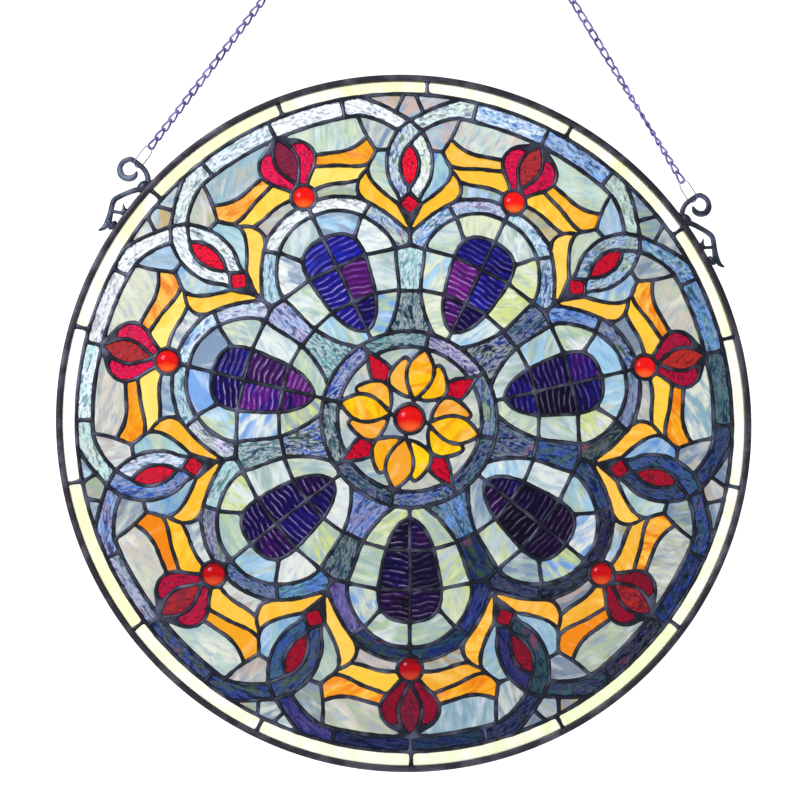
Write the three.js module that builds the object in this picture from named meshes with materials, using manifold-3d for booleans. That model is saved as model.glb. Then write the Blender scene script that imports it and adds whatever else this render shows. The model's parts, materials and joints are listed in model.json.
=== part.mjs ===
// A round hanging panel of copper-foil stained glass: a seven-petalled rose in a dark metal rim,
// held by two scroll brackets and a chain. Millimetres. X runs across the panel, Z up, and the
// panel's front faces -Y. The origin is the chain's middle link, where the whole thing hangs.
//
// The panel is drawn flat, x across and y up, and a group stands it upright. Most of its seams
// repeat seven times, so they are drawn once, in a petal's frame: [across, out], with "out"
// measured from the rose's centre along the petal's line. An outline follows the middle of the
// solder lines round a piece, and the glass and its opening in the solder are inset from it.
import * as THREE from 'three';
import { mergeVertices } from 'three/addons/utils/BufferGeometryUtils.js';
import Module from 'manifold-3d';

const wasm = await Module();
wasm.setup();

// ---------------------------------------------------------------- driving dimensions
const RIM_RADIUS = 305;          // outside of the rim: a 610 mm (24 in) panel
const RIM_FACE = 5.5;            // width of the rim channel's face
const RIM_DEPTH = 7;
const RIM_WALL = 1.2;            // sheet that the channel is folded from
const RIM_SIDES = 48;
const GLASS = 3;                 // thickness of the glass
const BEAD = 0.9;                // solder that stands proud of each face
const BAR = 4;                   // width of a solder line
const GAP = 0.3;                 // play between two pieces that touch
const PETALS = 7;
const ROSE_SHIFT = [-1.5, -2.5]; // the rose sits a little low and left in its rim
const ROSE_TWIST = 2.2;          // degrees anticlockwise, against the line it hangs by
const FLOWER_TWIST = 12.7;       // degrees clockwise, from the rose to its four-petalled flower
const BORDER_SEAM = 287.8;       // radius of the seam inside the border strips
const BORDER_BREAK = 52.8;       // degrees clockwise from the top: the seam at the right bracket
const RING_OUT = 77.3;           // the blue ring round the flower
const RING_IN = 63.4;
const JEWEL_CIRCLE = 215.6;      // the seven tulip jewels lie on this radius
const JEWEL = { radius: 10, dome: 4.6, collar: 0 };
const CENTRE_JEWEL = { radius: 11.5, dome: 5.2, collar: 1 };
const JEWEL_SIDES = 8;
const HANG_DROP = 587;           // from the middle link down to the panel's centre
const BRACKET_ANGLE = 52;        // degrees down from the top of the rim to a bracket's collar
const BRACKET_DEPTH = 3;
const SCROLL = { x: -4, y: 20.4, radius: 8.9, end: 6.1, sweep: 287, bar: 4.4, tip: 3 };
const CONNECTOR = { length: 21.6, width: 9.6, wire: 1, roll: 45 };
const LINK = { pitch: 10, width: 7, wire: 1.4 };

const SECTOR = (2 * Math.PI) / PETALS;
const rad = THREE.MathUtils.degToRad;

// ---------------------------------------------------------------- drawing on the flat
// Turns points clockwise about the origin.
function turn(points, angle) {
  const c = Math.cos(angle);
  const s = Math.sin(angle);
  return points.map(([x, y]) => [x * c + y * s, y * c - x * s]);
}

const move = (points, [dx, dy]) => points.map(([x, y]) => [x + dx, y + dy]);
const mirror = (points) => points.map(([x, y]) => [-x, y]);

// A closed outline from its right half, listed from one end of the axis to the other.
const both = (half) => [...half, ...mirror(half).reverse().slice(1, -1)];

// Points on a circle, clockwise from straight up, with both ends.
function arc(radius, from, to, steps) {
  return Array.from({ length: steps + 1 }, (_, i) => {
    const a = from + ((to - from) * i) / steps;
    return [radius * Math.sin(a), radius * Math.cos(a)];
  });
}

const circle = (radius, sides) => arc(radius, 0, 2 * Math.PI, sides).slice(1);

// Moves every side of a closed outline inwards.
function inset(outline, distance) {
  const loop = outline.map((p) => new THREE.Vector2(...p));
  const inward = THREE.ShapeUtils.area(loop) > 0 ? 1 : -1;
  const normal = (from, to) =>
    new THREE.Vector2(from.y - to.y, to.x - from.x).normalize().multiplyScalar(inward);
  return loop.map((point, i) => {
    const before = normal(loop.at(i - 1), point);
    const after = normal(point, loop[(i + 1) % loop.length]);
    const miter = before.clone().add(after).normalize();
    const reach = distance / Math.max(miter.dot(before), 0.25);
    return [point.x + miter.x * reach, point.y + miter.y * reach];
  });
}

// A flat solid, centred on the panel's middle plane.
function slab(outline, thickness, holes = []) {
  const points = (loop) => loop.map((p) => new THREE.Vector2(...p));
  const outer = points(outline);
  const shape = new THREE.Shape(THREE.ShapeUtils.isClockWise(outer) ? outer.reverse() : outer);
  shape.holes = holes.map((hole) => new THREE.Path(points(hole)));
  const solid = new THREE.ExtrudeGeometry(shape, { depth: thickness, bevelEnabled: false });
  return solid.translate(0, 0, -thickness / 2);
}

// A solid turned about the z axis, from a profile of [radius, z].
function turned(profile, sides) {
  const points = profile.map(([r, z]) => new THREE.Vector2(r, z));
  return new THREE.LatheGeometry(points, sides).rotateX(Math.PI / 2);
}

// A closed skin over rings of points: each ring joins the next, and `closed` joins the last
// ring to the first. An open run of rings is capped at both ends.
function skin(rings, closed) {
  const sides = rings[0].length;
  const index = [];
  for (let r = 0; r < rings.length - (closed ? 0 : 1); r += 1) {
    for (let s = 0; s < sides; s += 1) {
      const a = r * sides + s;
      const b = r * sides + ((s + 1) % sides);
      const c = ((r + 1) % rings.length) * sides + s;
      const d = ((r + 1) % rings.length) * sides + ((s + 1) % sides);
      index.push(a, b, d, a, d, c);
    }
  }
  if (!closed) {
    const last = (rings.length - 1) * sides;
    for (let s = 1; s < sides - 1; s += 1) {
      index.push(0, s + 1, s, last, last + s, last + s + 1);
    }
  }
  const geometry = new THREE.BufferGeometry();
  geometry.setAttribute('position', new THREE.Float32BufferAttribute(rings.flat(2), 3));
  geometry.setIndex(index);
  geometry.computeVertexNormals();
  return geometry;
}

// ---------------------------------------------------------------- joining and cutting
function toSolid(geometry) {
  const plain = geometry.clone();
  plain.deleteAttribute('normal');
  plain.deleteAttribute('uv');
  const merged = mergeVertices(plain, 1e-4);
  return new wasm.Manifold(new wasm.Mesh({
    numProp: 3,
    vertProperties: new Float32Array(merged.attributes.position.array),
    triVerts: new Uint32Array(merged.index.array),
  }));
}

function toGeometry(solid) {
  const mesh = solid.getMesh();
  const geometry = new THREE.BufferGeometry();
  geometry.setAttribute('position', new THREE.BufferAttribute(mesh.vertProperties, 3));
  geometry.setIndex(new THREE.BufferAttribute(mesh.triVerts, 1));
  geometry.computeVertexNormals();
  return geometry;
}

// ---------------------------------------------------------------- materials
const metal = (color, roughness) =>
  new THREE.MeshStandardMaterial({ color, roughness, metalness: 0.8 });
const glass = (color) => new THREE.MeshStandardMaterial({ color, roughness: 0.25, metalness: 0 });

const darkMetal = () => metal('#2b2a33', 0.5);
const chainMetal = () => metal('#6d6a8c', 0.35);

// ---------------------------------------------------------------- the panel's groups
const hanging = new THREE.Group();
const panel = new THREE.Group();
panel.position.set(0, 0, -HANG_DROP);
panel.rotation.x = Math.PI / 2;
const rose = new THREE.Group();
rose.position.set(...ROSE_SHIFT, 0);
rose.rotation.z = rad(ROSE_TWIST);
panel.add(rose);
hanging.add(panel);

function add(name, geometry, material, parent) {
  const mesh = new THREE.Mesh(geometry, material);
  mesh.name = name;
  parent.add(mesh);
  return mesh;
}

// ---------------------------------------------------------------- the rose's seams
// Right halves in a petal's frame, each from its outer end to its inner end.
const CORE = [[0, 175.5], [19, 171], [27, 161], [27.2, 147.5], [19, 108], [0, 85.5]];
const PETAL = [[0, 197.5], [24, 192.7], [46, 173], [54, 147], [40, 104], [13, 76.2], [0, RING_OUT]];
const BAND = [[0, 205], [9, 208.6], [34, 202.5], [57, 180], [71.6, 148.7]];
const TULIP = [[0, 272.8], [13, 266.3], [24.6, 255.5], [25, 245], [7.2, 223.9], [0, 226.6]];
const RIBBON = [[25, 245], [56, 238.2], [75.1, 241.6]];

// Left halves in the frame of a gap, which is the line between two petals.
const EYE_TOP = [[0, 266.5], [-11, 257], [-19.2, 239.5], [-29.5, 238.5]];
const EYE_FOOT = [[-37, 221], [-30.5, 207.5], [-10.5, 191]];
const EYE_TIP = [0, 180.5];
const GARLAND_TIP = [0, 175];

// Right half of a flower petal with the half petal that leans on it, in its own frame.
const FLOWER = [[0, RING_IN], [9.8, 51], [15.8, 52], [26.5, 40.5], [25.2, 25.2]];

const toGap = (points) => turn(points, -SECTOR / 2);
const toPetal = (points) => turn(points, SECTOR / 2);
const inPanel = (points) => move(turn(points, -rad(ROSE_TWIST)), ROSE_SHIFT);

// Distance from the rose's centre to the border seam, clockwise from the rose's own top.
function borderReach(angle) {
  const [x, y] = turn([ROSE_SHIFT], rad(ROSE_TWIST))[0];
  const along = x * Math.sin(angle) + y * Math.cos(angle);
  return Math.sqrt(BORDER_SEAM ** 2 - (x * x + y * y - along * along)) - along;
}

// Two ribbons and a leaf on each side of a gap, meeting in a V below the eye.
function garlandSeams() {
  const outer = toGap([...BAND.slice(1).reverse(), [11, JEWEL_CIRCLE], TULIP[4], ...RIBBON]);
  return both([...outer, EYE_TOP.at(-1), ...EYE_FOOT, GARLAND_TIP]);
}

// Seven horseshoes of blue glass with the ring they stand on. The outline goes round each petal
// in turn, and at the first petal it slips through a seam to go round the inside of the ring.
function bandSeams() {
  const outline = [];
  for (let k = 0; k < PETALS; k += 1) {
    const slip = k === 0 ? [...arc(RING_IN, 0, -2 * Math.PI, 20), [0, RING_OUT]] : [];
    const petal = [
      ...mirror(BAND).reverse().slice(1), ...mirror(PETAL), ...slip,
      ...PETAL.toReversed().slice(1), ...BAND,
    ];
    outline.push(...turn(petal, Math.PI + k * SECTOR));
  }
  return outline;
}

// The pale field with its outer scallops: a ring round the rose, parted at the first tulip.
function fieldSeams() {
  const half = [...TULIP.slice(0, 4), ...RIBBON.slice(1), ...toPetal(EYE_TOP.toReversed())];
  const inner = [];
  for (let k = 0; k < PETALS; k += 1) {
    const toNext = [...half, ...turn(mirror(half).reverse().slice(1, -1), SECTOR)];
    inner.push(...turn(toNext, Math.PI + k * SECTOR));
  }
  const steps = PETALS * 6;
  const outer = Array.from({ length: steps + 1 }, (_, i) => {
    const a = Math.PI - (2 * Math.PI * i) / steps;
    return [borderReach(a) * Math.sin(a), borderReach(a) * Math.cos(a)];
  });
  return [...inner, ...turn([TULIP[0]], Math.PI), ...outer];
}

// ---------------------------------------------------------------- the rose's glass
const openings = [];             // what the glass leaves open in the solder

function glassPiece(name, seams, color, angle = 0, holes = []) {
  openings.push(inPanel(turn(inset(seams, BAR / 2), angle)));
  const piece = slab(inset(seams, BAR / 2 + GAP), GLASS, holes);
  add(name, piece, glass(color), rose).rotation.z = -angle;
}

// A cabochon with a flat back, and a solder collar where no seam goes round it.
function jewel({ radius, dome, collar }) {
  const edge = GLASS / 2;
  const rimmed = collar > 0 ? [[radius + collar, -edge], [radius + collar, edge]] : [[radius, -edge]];
  const profile = [
    [0, -edge], ...rimmed, [radius, edge], [radius * 0.75, edge + dome * 0.6], [0, edge + dome],
  ];
  return turned(profile, JEWEL_SIDES);
}

for (let k = 0; k < PETALS; k += 1) {
  const petal = Math.PI + k * SECTOR;
  const gap = petal + SECTOR / 2;
  const number = k + 1;
  const border = [...both(PETAL), PETAL[0], ...mirror(CORE), ...CORE.toReversed().slice(1)];
  glassPiece(`petal_core_${number}`, both(CORE), '#2c1468', petal);
  glassPiece(`petal_border_${number}`, border, '#c3d3c6', petal);
  glassPiece(`tulip_${number}`, both(TULIP), '#a5132b', petal);
  glassPiece(`garland_${number}`, garlandSeams(), '#f2a733', gap);
  glassPiece(`eye_${number}`, both([...EYE_TOP, ...EYE_FOOT, EYE_TIP]), '#9fb4cf', gap);

  const place = turn([[0, JEWEL_CIRCLE]], petal)[0];
  openings.push(inPanel(move(circle(JEWEL.radius + GAP, JEWEL_SIDES), place)));
  add(`jewel_${number}`, jewel(JEWEL), glass('#c00f1c'), rose).position.set(...place, 0);
}
glassPiece('blue_bands', bandSeams(), '#6f8fb8');
glassPiece('field', fieldSeams(), '#cfdcd6');

const flowerHole = circle(CENTRE_JEWEL.radius + CENTRE_JEWEL.collar + GAP, JEWEL_SIDES);
const quarter = [...mirror(FLOWER).reverse(), ...FLOWER.slice(1, -1)];
const flower = [0, 1, 2, 3].flatMap((k) => turn(quarter, (k * Math.PI) / 2));
glassPiece('flower_petals', flower, '#f5b82e', rad(FLOWER_TWIST), [flowerHole]);
const centreJewel = add('jewel_centre', jewel(CENTRE_JEWEL), glass('#d31410'), rose);
centreJewel.rotation.z = -rad(FLOWER_TWIST);

const cornerSide = FLOWER.slice(1);
const corner = [
  ...arc(RING_IN, 0, Math.PI / 2, 5), ...cornerSide.map(([x, y]) => [y, x]),
  ...cornerSide.toReversed().slice(1),
];
for (let k = 0; k < 4; k += 1) {
  glassPiece(`flower_corner_${k + 1}`, corner, '#b9c7c9', rad(FLOWER_TWIST) + (k * Math.PI) / 2);
}

// ---------------------------------------------------------------- border, solder and rim
// The border strips are one ring here, parted at the right bracket's seam.
const borderSeams = turn([
  ...arc(RIM_RADIUS, 0, 2 * Math.PI, RIM_SIDES), ...arc(BORDER_SEAM, 2 * Math.PI, 0, RIM_SIDES),
], rad(BORDER_BREAK));
add('border_glass', slab(inset(borderSeams, BAR / 2 + GAP), GLASS), glass('#f2f5c4'), panel);

const netRadius = BORDER_SEAM + BAR / 2;
const lipRadius = RIM_RADIUS - RIM_FACE;
const netReach = lipRadius * Math.cos(Math.PI / RIM_SIDES) - GAP;
const netTab = [
  [-BAR / 2, netRadius], [-BAR / 2, netReach], [BAR / 2, netReach], [BAR / 2, netRadius],
];
const netOutline = [...netTab, ...circle(netRadius, RIM_SIDES).slice(0, -1)];
const net = slab(turn(netOutline, rad(BORDER_BREAK)), GLASS + 2 * BEAD, openings);
add('solder_net', net, darkMetal(), panel);

const half = RIM_DEPTH / 2;
const grooveHalf = half - RIM_WALL;
const rimProfile = [
  [lipRadius, -half], [RIM_RADIUS, -half], [RIM_RADIUS, half], [lipRadius, half],
  [lipRadius, grooveHalf], [RIM_RADIUS - RIM_WALL, grooveHalf],
  [RIM_RADIUS - RIM_WALL, -grooveHalf], [lipRadius, -grooveHalf], [lipRadius, -half],
];
add('rim', turned(rimProfile, RIM_SIDES), darkMetal(), panel);

// ---------------------------------------------------------------- scroll brackets
// Drawn from the rim's edge: x runs down along the rim, y outwards.
function stroke(points, widths) {
  const centre = points.map((p) => new THREE.Vector2(...p));
  const side = (sign) => centre.map((point, i) => {
    const along = centre[Math.min(i + 1, centre.length - 1)].clone()
      .sub(centre[Math.max(i - 1, 0)]).normalize();
    const w = (sign * widths[i]) / 2;
    return [point.x - along.y * w, point.y + along.x * w];
  });
  return [...side(1), ...side(-1).reverse()];
}

function scroll() {
  const points = [[-3, -2], [-9.5, 5.5], [-12.4, 12.5]];
  const widths = [SCROLL.bar, SCROLL.bar, SCROLL.bar];
  const steps = 9;
  for (let i = 0; i <= steps; i += 1) {
    const a = (rad(SCROLL.sweep) * i) / steps;
    const curl = Math.max(0, i / steps - 0.6) / 0.4;
    const r = THREE.MathUtils.lerp(SCROLL.radius, SCROLL.end, curl);
    points.push([SCROLL.x - r * Math.cos(a), SCROLL.y + r * Math.sin(a)]);
    widths.push(THREE.MathUtils.lerp(SCROLL.bar, SCROLL.tip, curl));
  }
  return stroke(points, widths);
}

const leaf = stroke(
  [[1, 0.5], [6.5, 5], [14.5, 9.2], [22, 12.3], [29.5, 11.4], [36.2, 7.8], [43.5, 4.2], [54.5, 5.4]],
  [4.2, 4.2, 4.2, 4.2, 4.2, 4.6, 5, 1],
);
const leafBar = stroke([[34.5, 8.5], [27.5, -3]], [3, 3]);
const leafFoot = stroke([[43, 5], [43, -6]], [5, 6]);
const collar = [[-5, -2], [-5, 6.5], [5, 6.5], [5, -2]];

function bracket(side) {
  const depths = new Map([[collar, RIM_DEPTH], [leafFoot, RIM_DEPTH]]);
  const outlines = [scroll(), leaf, leafBar, leafFoot, collar];
  const solids = outlines.map((outline) =>
    toSolid(slab(move(outline, [0, RIM_RADIUS]), depths.get(outline) ?? BRACKET_DEPTH)));
  const whole = solids.reduce((sum, solid) => sum.add(solid));
  const sides = turn(circle(RIM_RADIUS + GAP, RIM_SIDES), -rad(BRACKET_ANGLE));
  const seated = toGeometry(whole.subtract(toSolid(slab(sides, 4 * RIM_DEPTH))));
  const upright = seated.rotateZ(-rad(BRACKET_ANGLE));
  return side > 0 ? upright : toGeometry(toSolid(upright).mirror([1, 0, 0]));
}

add('bracket_right', bracket(1), darkMetal(), panel);
add('bracket_left', bracket(-1), darkMetal(), panel);

// ---------------------------------------------------------------- chain
// A closed wire link in the xz plane, its length along z.
function wireLink(length, width, wire, corners) {
  const r = width / 2;
  const straight = length / 2 - r;
  const path = arc(r, -Math.PI / 2, Math.PI / 2, corners).map(([x, z]) => [x, z + straight]);
  path.push(...path.map(([x, z]) => [-x, -z]));
  const rings = path.map(([x, z], i) => {
    const [bx, bz] = path.at(i - 1);
    const [ax, az] = path[(i + 1) % path.length];
    const out = new THREE.Vector2(bz - az, ax - bx).normalize();
    return [[1, 0], [0, -1], [-1, 0], [0, 1]].map(([across, deep]) => [
      x + (out.x * across * wire) / 2, (deep * wire) / 2, z + (out.y * across * wire) / 2,
    ]);
  });
  return skin(rings, true);
}

// A run of links along z: flat lozenges, each turned a quarter against the one before.
function linkRun(length) {
  const count = Math.round(length / LINK.pitch);
  const ring = (x, y, z) => [[x, 0, z], [0, y, z], [-x, 0, z], [0, -y, z]];
  const wide = LINK.width / 2;
  const flat = LINK.wire / 2;
  const links = Array.from({ length: count }, (_, i) =>
    ring(i % 2 ? flat : wide, i % 2 ? wide : flat, (length * (i + 0.5)) / count));
  return skin([ring(flat, flat, 0), ...links, ring(flat, flat, length)], false);
}

// The connector's foot hangs inside the scroll, round its bar.
const eyeFlat = turn([[SCROLL.x - SCROLL.radius, RIM_RADIUS + SCROLL.y - 1.4]], rad(BRACKET_ANGLE))[0];
const eye = new THREE.Vector3(eyeFlat[0], 0, eyeFlat[1] - HANG_DROP);
const MIDDLE_LINK = LINK.pitch + 2 * LINK.wire;
const runAngle = Math.atan2(eye.x, -eye.z);
const connectorFoot = eye.length() + SCROLL.bar / 2 + 1.5;
const runStart = 7.5;
const runLength = connectorFoot - CONNECTOR.length - GAP - CONNECTOR.wire - runStart;

for (const [side, word] of [[1, 'right'], [-1, 'left']]) {
  const line = new THREE.Group();
  line.rotation.y = -side * runAngle;
  hanging.add(line);
  const { length, width, wire, roll } = CONNECTOR;
  const connector = add(`connector_${word}`, wireLink(length, width, wire, 4), chainMetal(), line);
  connector.position.z = -(connectorFoot - length / 2);
  connector.rotation.z = -side * rad(roll);
  const chain = add(`chain_${word}`, linkRun(runLength), chainMetal(), line);
  chain.position.z = -(runStart + runLength);
}
const middle = wireLink(MIDDLE_LINK, LINK.width, LINK.wire, 4).rotateY(Math.PI / 2);
add('chain_middle_link', middle, chainMetal(), hanging);

export default hanging;
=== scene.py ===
# %% [markdown]
# # A hanging stained glass window
#
# The window is made the copper-foil way. Each tile of glass gets a strip of copper foil round
# its edge, the tiles are laid side by side, and solder is run along every seam, front and back,
# where it stands up as a rounded bead. A channel of metal closes the rim, two cast scrolls are
# soldered to it, and a chain from the scrolls carries the weight.
#
# The solid model comes first, as a frame. Each piece below is made in the same place as the
# solid that it stands for, and takes that solid's sizes.

import json
import math
import random

import bmesh
import bpy
import numpy as np
from mathutils import Matrix, Vector, geometry, noise

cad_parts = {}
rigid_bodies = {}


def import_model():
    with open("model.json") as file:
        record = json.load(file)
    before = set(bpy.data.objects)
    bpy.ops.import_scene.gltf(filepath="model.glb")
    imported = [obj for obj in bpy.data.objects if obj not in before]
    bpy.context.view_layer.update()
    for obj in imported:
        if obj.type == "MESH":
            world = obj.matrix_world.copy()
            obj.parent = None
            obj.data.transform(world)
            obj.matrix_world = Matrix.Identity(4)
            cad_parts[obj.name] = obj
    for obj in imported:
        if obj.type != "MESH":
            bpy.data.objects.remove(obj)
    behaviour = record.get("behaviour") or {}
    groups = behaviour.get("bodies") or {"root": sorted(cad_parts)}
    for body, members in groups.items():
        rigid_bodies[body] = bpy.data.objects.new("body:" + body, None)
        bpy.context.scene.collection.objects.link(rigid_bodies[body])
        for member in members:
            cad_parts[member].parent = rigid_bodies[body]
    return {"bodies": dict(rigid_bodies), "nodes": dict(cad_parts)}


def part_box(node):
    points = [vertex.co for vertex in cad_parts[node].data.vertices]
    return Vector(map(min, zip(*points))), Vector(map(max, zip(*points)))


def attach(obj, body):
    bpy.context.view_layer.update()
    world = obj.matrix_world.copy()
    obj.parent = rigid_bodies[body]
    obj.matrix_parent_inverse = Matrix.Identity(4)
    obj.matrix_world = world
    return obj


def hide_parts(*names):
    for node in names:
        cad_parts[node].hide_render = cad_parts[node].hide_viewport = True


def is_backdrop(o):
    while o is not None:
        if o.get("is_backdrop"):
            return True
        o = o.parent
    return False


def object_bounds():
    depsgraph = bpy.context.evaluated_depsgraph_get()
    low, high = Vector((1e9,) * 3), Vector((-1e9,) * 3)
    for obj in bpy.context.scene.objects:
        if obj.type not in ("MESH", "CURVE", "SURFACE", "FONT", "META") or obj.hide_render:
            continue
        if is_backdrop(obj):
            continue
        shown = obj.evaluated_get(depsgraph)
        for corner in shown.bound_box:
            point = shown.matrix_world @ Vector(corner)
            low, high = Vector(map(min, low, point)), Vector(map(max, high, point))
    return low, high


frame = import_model()
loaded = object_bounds()
ROOT = next(iter(frame["bodies"]))
print("body:", ROOT, "nodes:", len(frame["nodes"]))

# %% [markdown]
# ## Sizes
#
# Lengths below are in millimetres, because glass work is. `world` turns a place on the panel
# into the frame's metres: x across, y up from the rim's centre, and depth towards the viewer.

# %% Sizes from the frame
MM = 0.001
rim_low, rim_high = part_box("rim")
RIM_RADIUS = (rim_high.x - rim_low.x) / 2 / MM
RIM_HALF_DEPTH = (rim_high.y - rim_low.y) / 2 / MM
CENTRE_Z = (rim_low.z + rim_high.z) / 2
GLASS = (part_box("tulip_1")[1].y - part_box("tulip_1")[0].y) / MM
LIP_RADIUS = RIM_RADIUS - 5.5  # inner edge of the rim's face


def world(x, y, depth):
    return Vector((x * MM, -depth * MM, CENTRE_Z + y * MM))


print(f"rim radius {RIM_RADIUS:.1f} mm, glass {GLASS:.1f} mm thick, centre at z = {CENTRE_Z:.3f} m")

# %% [markdown]
# ## Writing shader maths
#
# A material is a tree of nodes, and long trees are hard to read as code. `Flow` wraps one output
# of a tree, so that `1 - mask * 0.5` adds the Math nodes it stands for. Anything that isn't a sum
# goes through `node`, which takes a node's type, its settings and what feeds its sockets.


# %% A small language for materials
class Flow:
    """One output of a material's node tree, or the tree itself while it has no output yet."""

    def __init__(self, tree, output=None):
        self.tree = tree
        self.output = output

    def node(self, kind, settings=None, feeds=None, output=0, stops=None):
        made = self.tree.nodes.new(kind)
        for name, value in (settings or {}).items():
            setattr(made, name, value)
        if stops:
            ramp = made.color_ramp
            while len(ramp.elements) < len(stops):
                ramp.elements.new(1)
            for element, (place, colour) in zip(ramp.elements, stops):
                element.position = place
                element.color = (*colour, 1)
        for name, value in (feeds or {}).items():
            if isinstance(value, Flow):
                self.tree.links.new(value.output, made.inputs[name])
            else:
                made.inputs[name].default_value = value
        return Flow(self.tree, made.outputs[output])

    def maths(self, operation, *values):
        return self.node("ShaderNodeMath", {"operation": operation}, dict(enumerate(values)))

    def __add__(self, other):
        return self.maths("ADD", self, other)

    def __sub__(self, other):
        return self.maths("SUBTRACT", self, other)

    def __mul__(self, other):
        return self.maths("MULTIPLY", self, other)

    def __pow__(self, other):
        return self.maths("POWER", self, other)

    def __rsub__(self, other):
        return self.maths("SUBTRACT", other, self)

    def __abs__(self):
        return self.maths("ABSOLUTE", self)

    __radd__ = __add__
    __rmul__ = __mul__

    def clamp(self, low, high):
        feeds = {0: self, 1: low, 2: high, 3: 0.0, 4: 1.0}
        return self.node("ShaderNodeMapRange", {"clamp": True}, feeds)

    def blend(self, colour, other, how="MIX"):
        """This value mixes two colours."""
        settings = {"data_type": "RGBA", "blend_type": how}
        return self.node("ShaderNodeMix", settings, {0: self, 6: colour, 7: other}, output=2)

    def cloud(self, where, scale, detail=2.0, roughness=0.5, distortion=0.0):
        feeds = {"Vector": where, "Scale": scale, "Detail": detail, "Roughness": roughness}
        return self.node("ShaderNodeTexNoise", feeds={**feeds, "Distortion": distortion})

    def stretched(self, where, scale):
        return self.node("ShaderNodeMapping", feeds={"Vector": where, "Scale": scale})


def rgba(code):
    """A linear colour from the six digits that a paint chart gives."""
    channels = [int(code[i : i + 2], 16) / 255 for i in (0, 2, 4)]
    linear = [c / 12.92 if c <= 0.04045 else ((c + 0.055) / 1.055) ** 2.4 for c in channels]
    return (*linear, 1.0)


def new_material(name):
    """An empty material, with its tree and its shader."""
    made = bpy.data.materials.new(name)
    made.use_nodes = True
    return made, Flow(made.node_tree), made.node_tree.nodes["Principled BSDF"]


def feed(shader, **flows):
    """Links flows to the shader's sockets: base_color feeds Base Color."""
    for name, flow in flows.items():
        flow.tree.links.new(flow.output, shader.inputs[name.replace("_", " ").title()])


# %% [markdown]
# ## The pattern
#
# The pattern has sevenfold rhythm: seven petals round a small flower, a tulip beyond each
# petal, and between two tulips an eye where the outer scallops cross. So a seam is drawn once,
# for half a petal or half a gap, then mirrored and turned round. A curve is given by the few
# points where a glazier would mark it, and a smooth line is led through them.

# %% Drawing tools
PETALS = 7
SECTOR = 2 * math.pi / PETALS
CURVE_STEP = 3.2  # distance between the points of a small curve
LONG_STEP = 7.0  # the same on straight seams and on the big circles


def curve(*marks, step=CURVE_STEP):
    """A smooth line through the marks."""
    marks = np.array(marks, float)
    ends = [2 * marks[0] - marks[1], *marks, 2 * marks[-1] - marks[-2]]
    points = []
    for before, here, there, after in zip(ends, ends[1:], ends[2:], ends[3:]):
        count = max(2, math.ceil(np.linalg.norm(there - here) / step))
        for t in np.arange(count)[:, None] / count:
            bend = (2 * before - 5 * here + 4 * there - after) * t + (there - before)
            twist = (3 * here - before - 3 * there + after) * t**3
            points.append((2 * here + bend * t + twist) / 2)
    return np.array([point[-1] if point.ndim > 1 else point for point in points] + [marks[-1]])


def line(start, end, step=LONG_STEP):
    count = max(1, math.ceil(math.dist(start, end) / step))
    return np.linspace(start, end, count + 1)


def arc(radius, start, end, step=LONG_STEP, centre=(0, 0)):
    """Part of a circle. Angles are in degrees, clockwise from straight up."""
    count = max(6, math.ceil(abs(math.radians(end - start)) * radius / step))
    angles = np.radians(np.linspace(start, end, count + 1))
    return np.c_[centre[0] + radius * np.sin(angles), centre[1] + radius * np.cos(angles)]


def turn(points, angle):
    """Turns points clockwise round the origin, by an angle in radians."""
    c, s = math.cos(angle), math.sin(angle)
    return np.asarray(points) @ np.array([[c, -s], [s, c]])


def mirror(points):
    return np.asarray(points) * (-1, 1)


# %% [markdown]
# The seams come in four lists. `PETAL` holds the right half of a petal, of the blue band round
# it and of the tulip beyond, as [across, out from the rose's centre]. `GAP` holds the left half
# of an eye, seen along the line between two petals. `FLOWER` is a quarter of the flower in the
# middle, which has a rhythm of four. Round seams that close on themselves come last.

# %% Seams of the rose
RING_IN, RING_OUT = 63.4, 77.3  # the blue ring round the flower
SCALLOP = 272.8  # inner edge of the scallops, at a tulip
BORDER = 287.8  # the seam inside the border strips
JEWEL_CIRCLE = 215.6
JEWEL_SEAM = 11.0
SCALLOP_END = 16.2  # degrees from a tulip's line to where its scallop bends inwards

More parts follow.
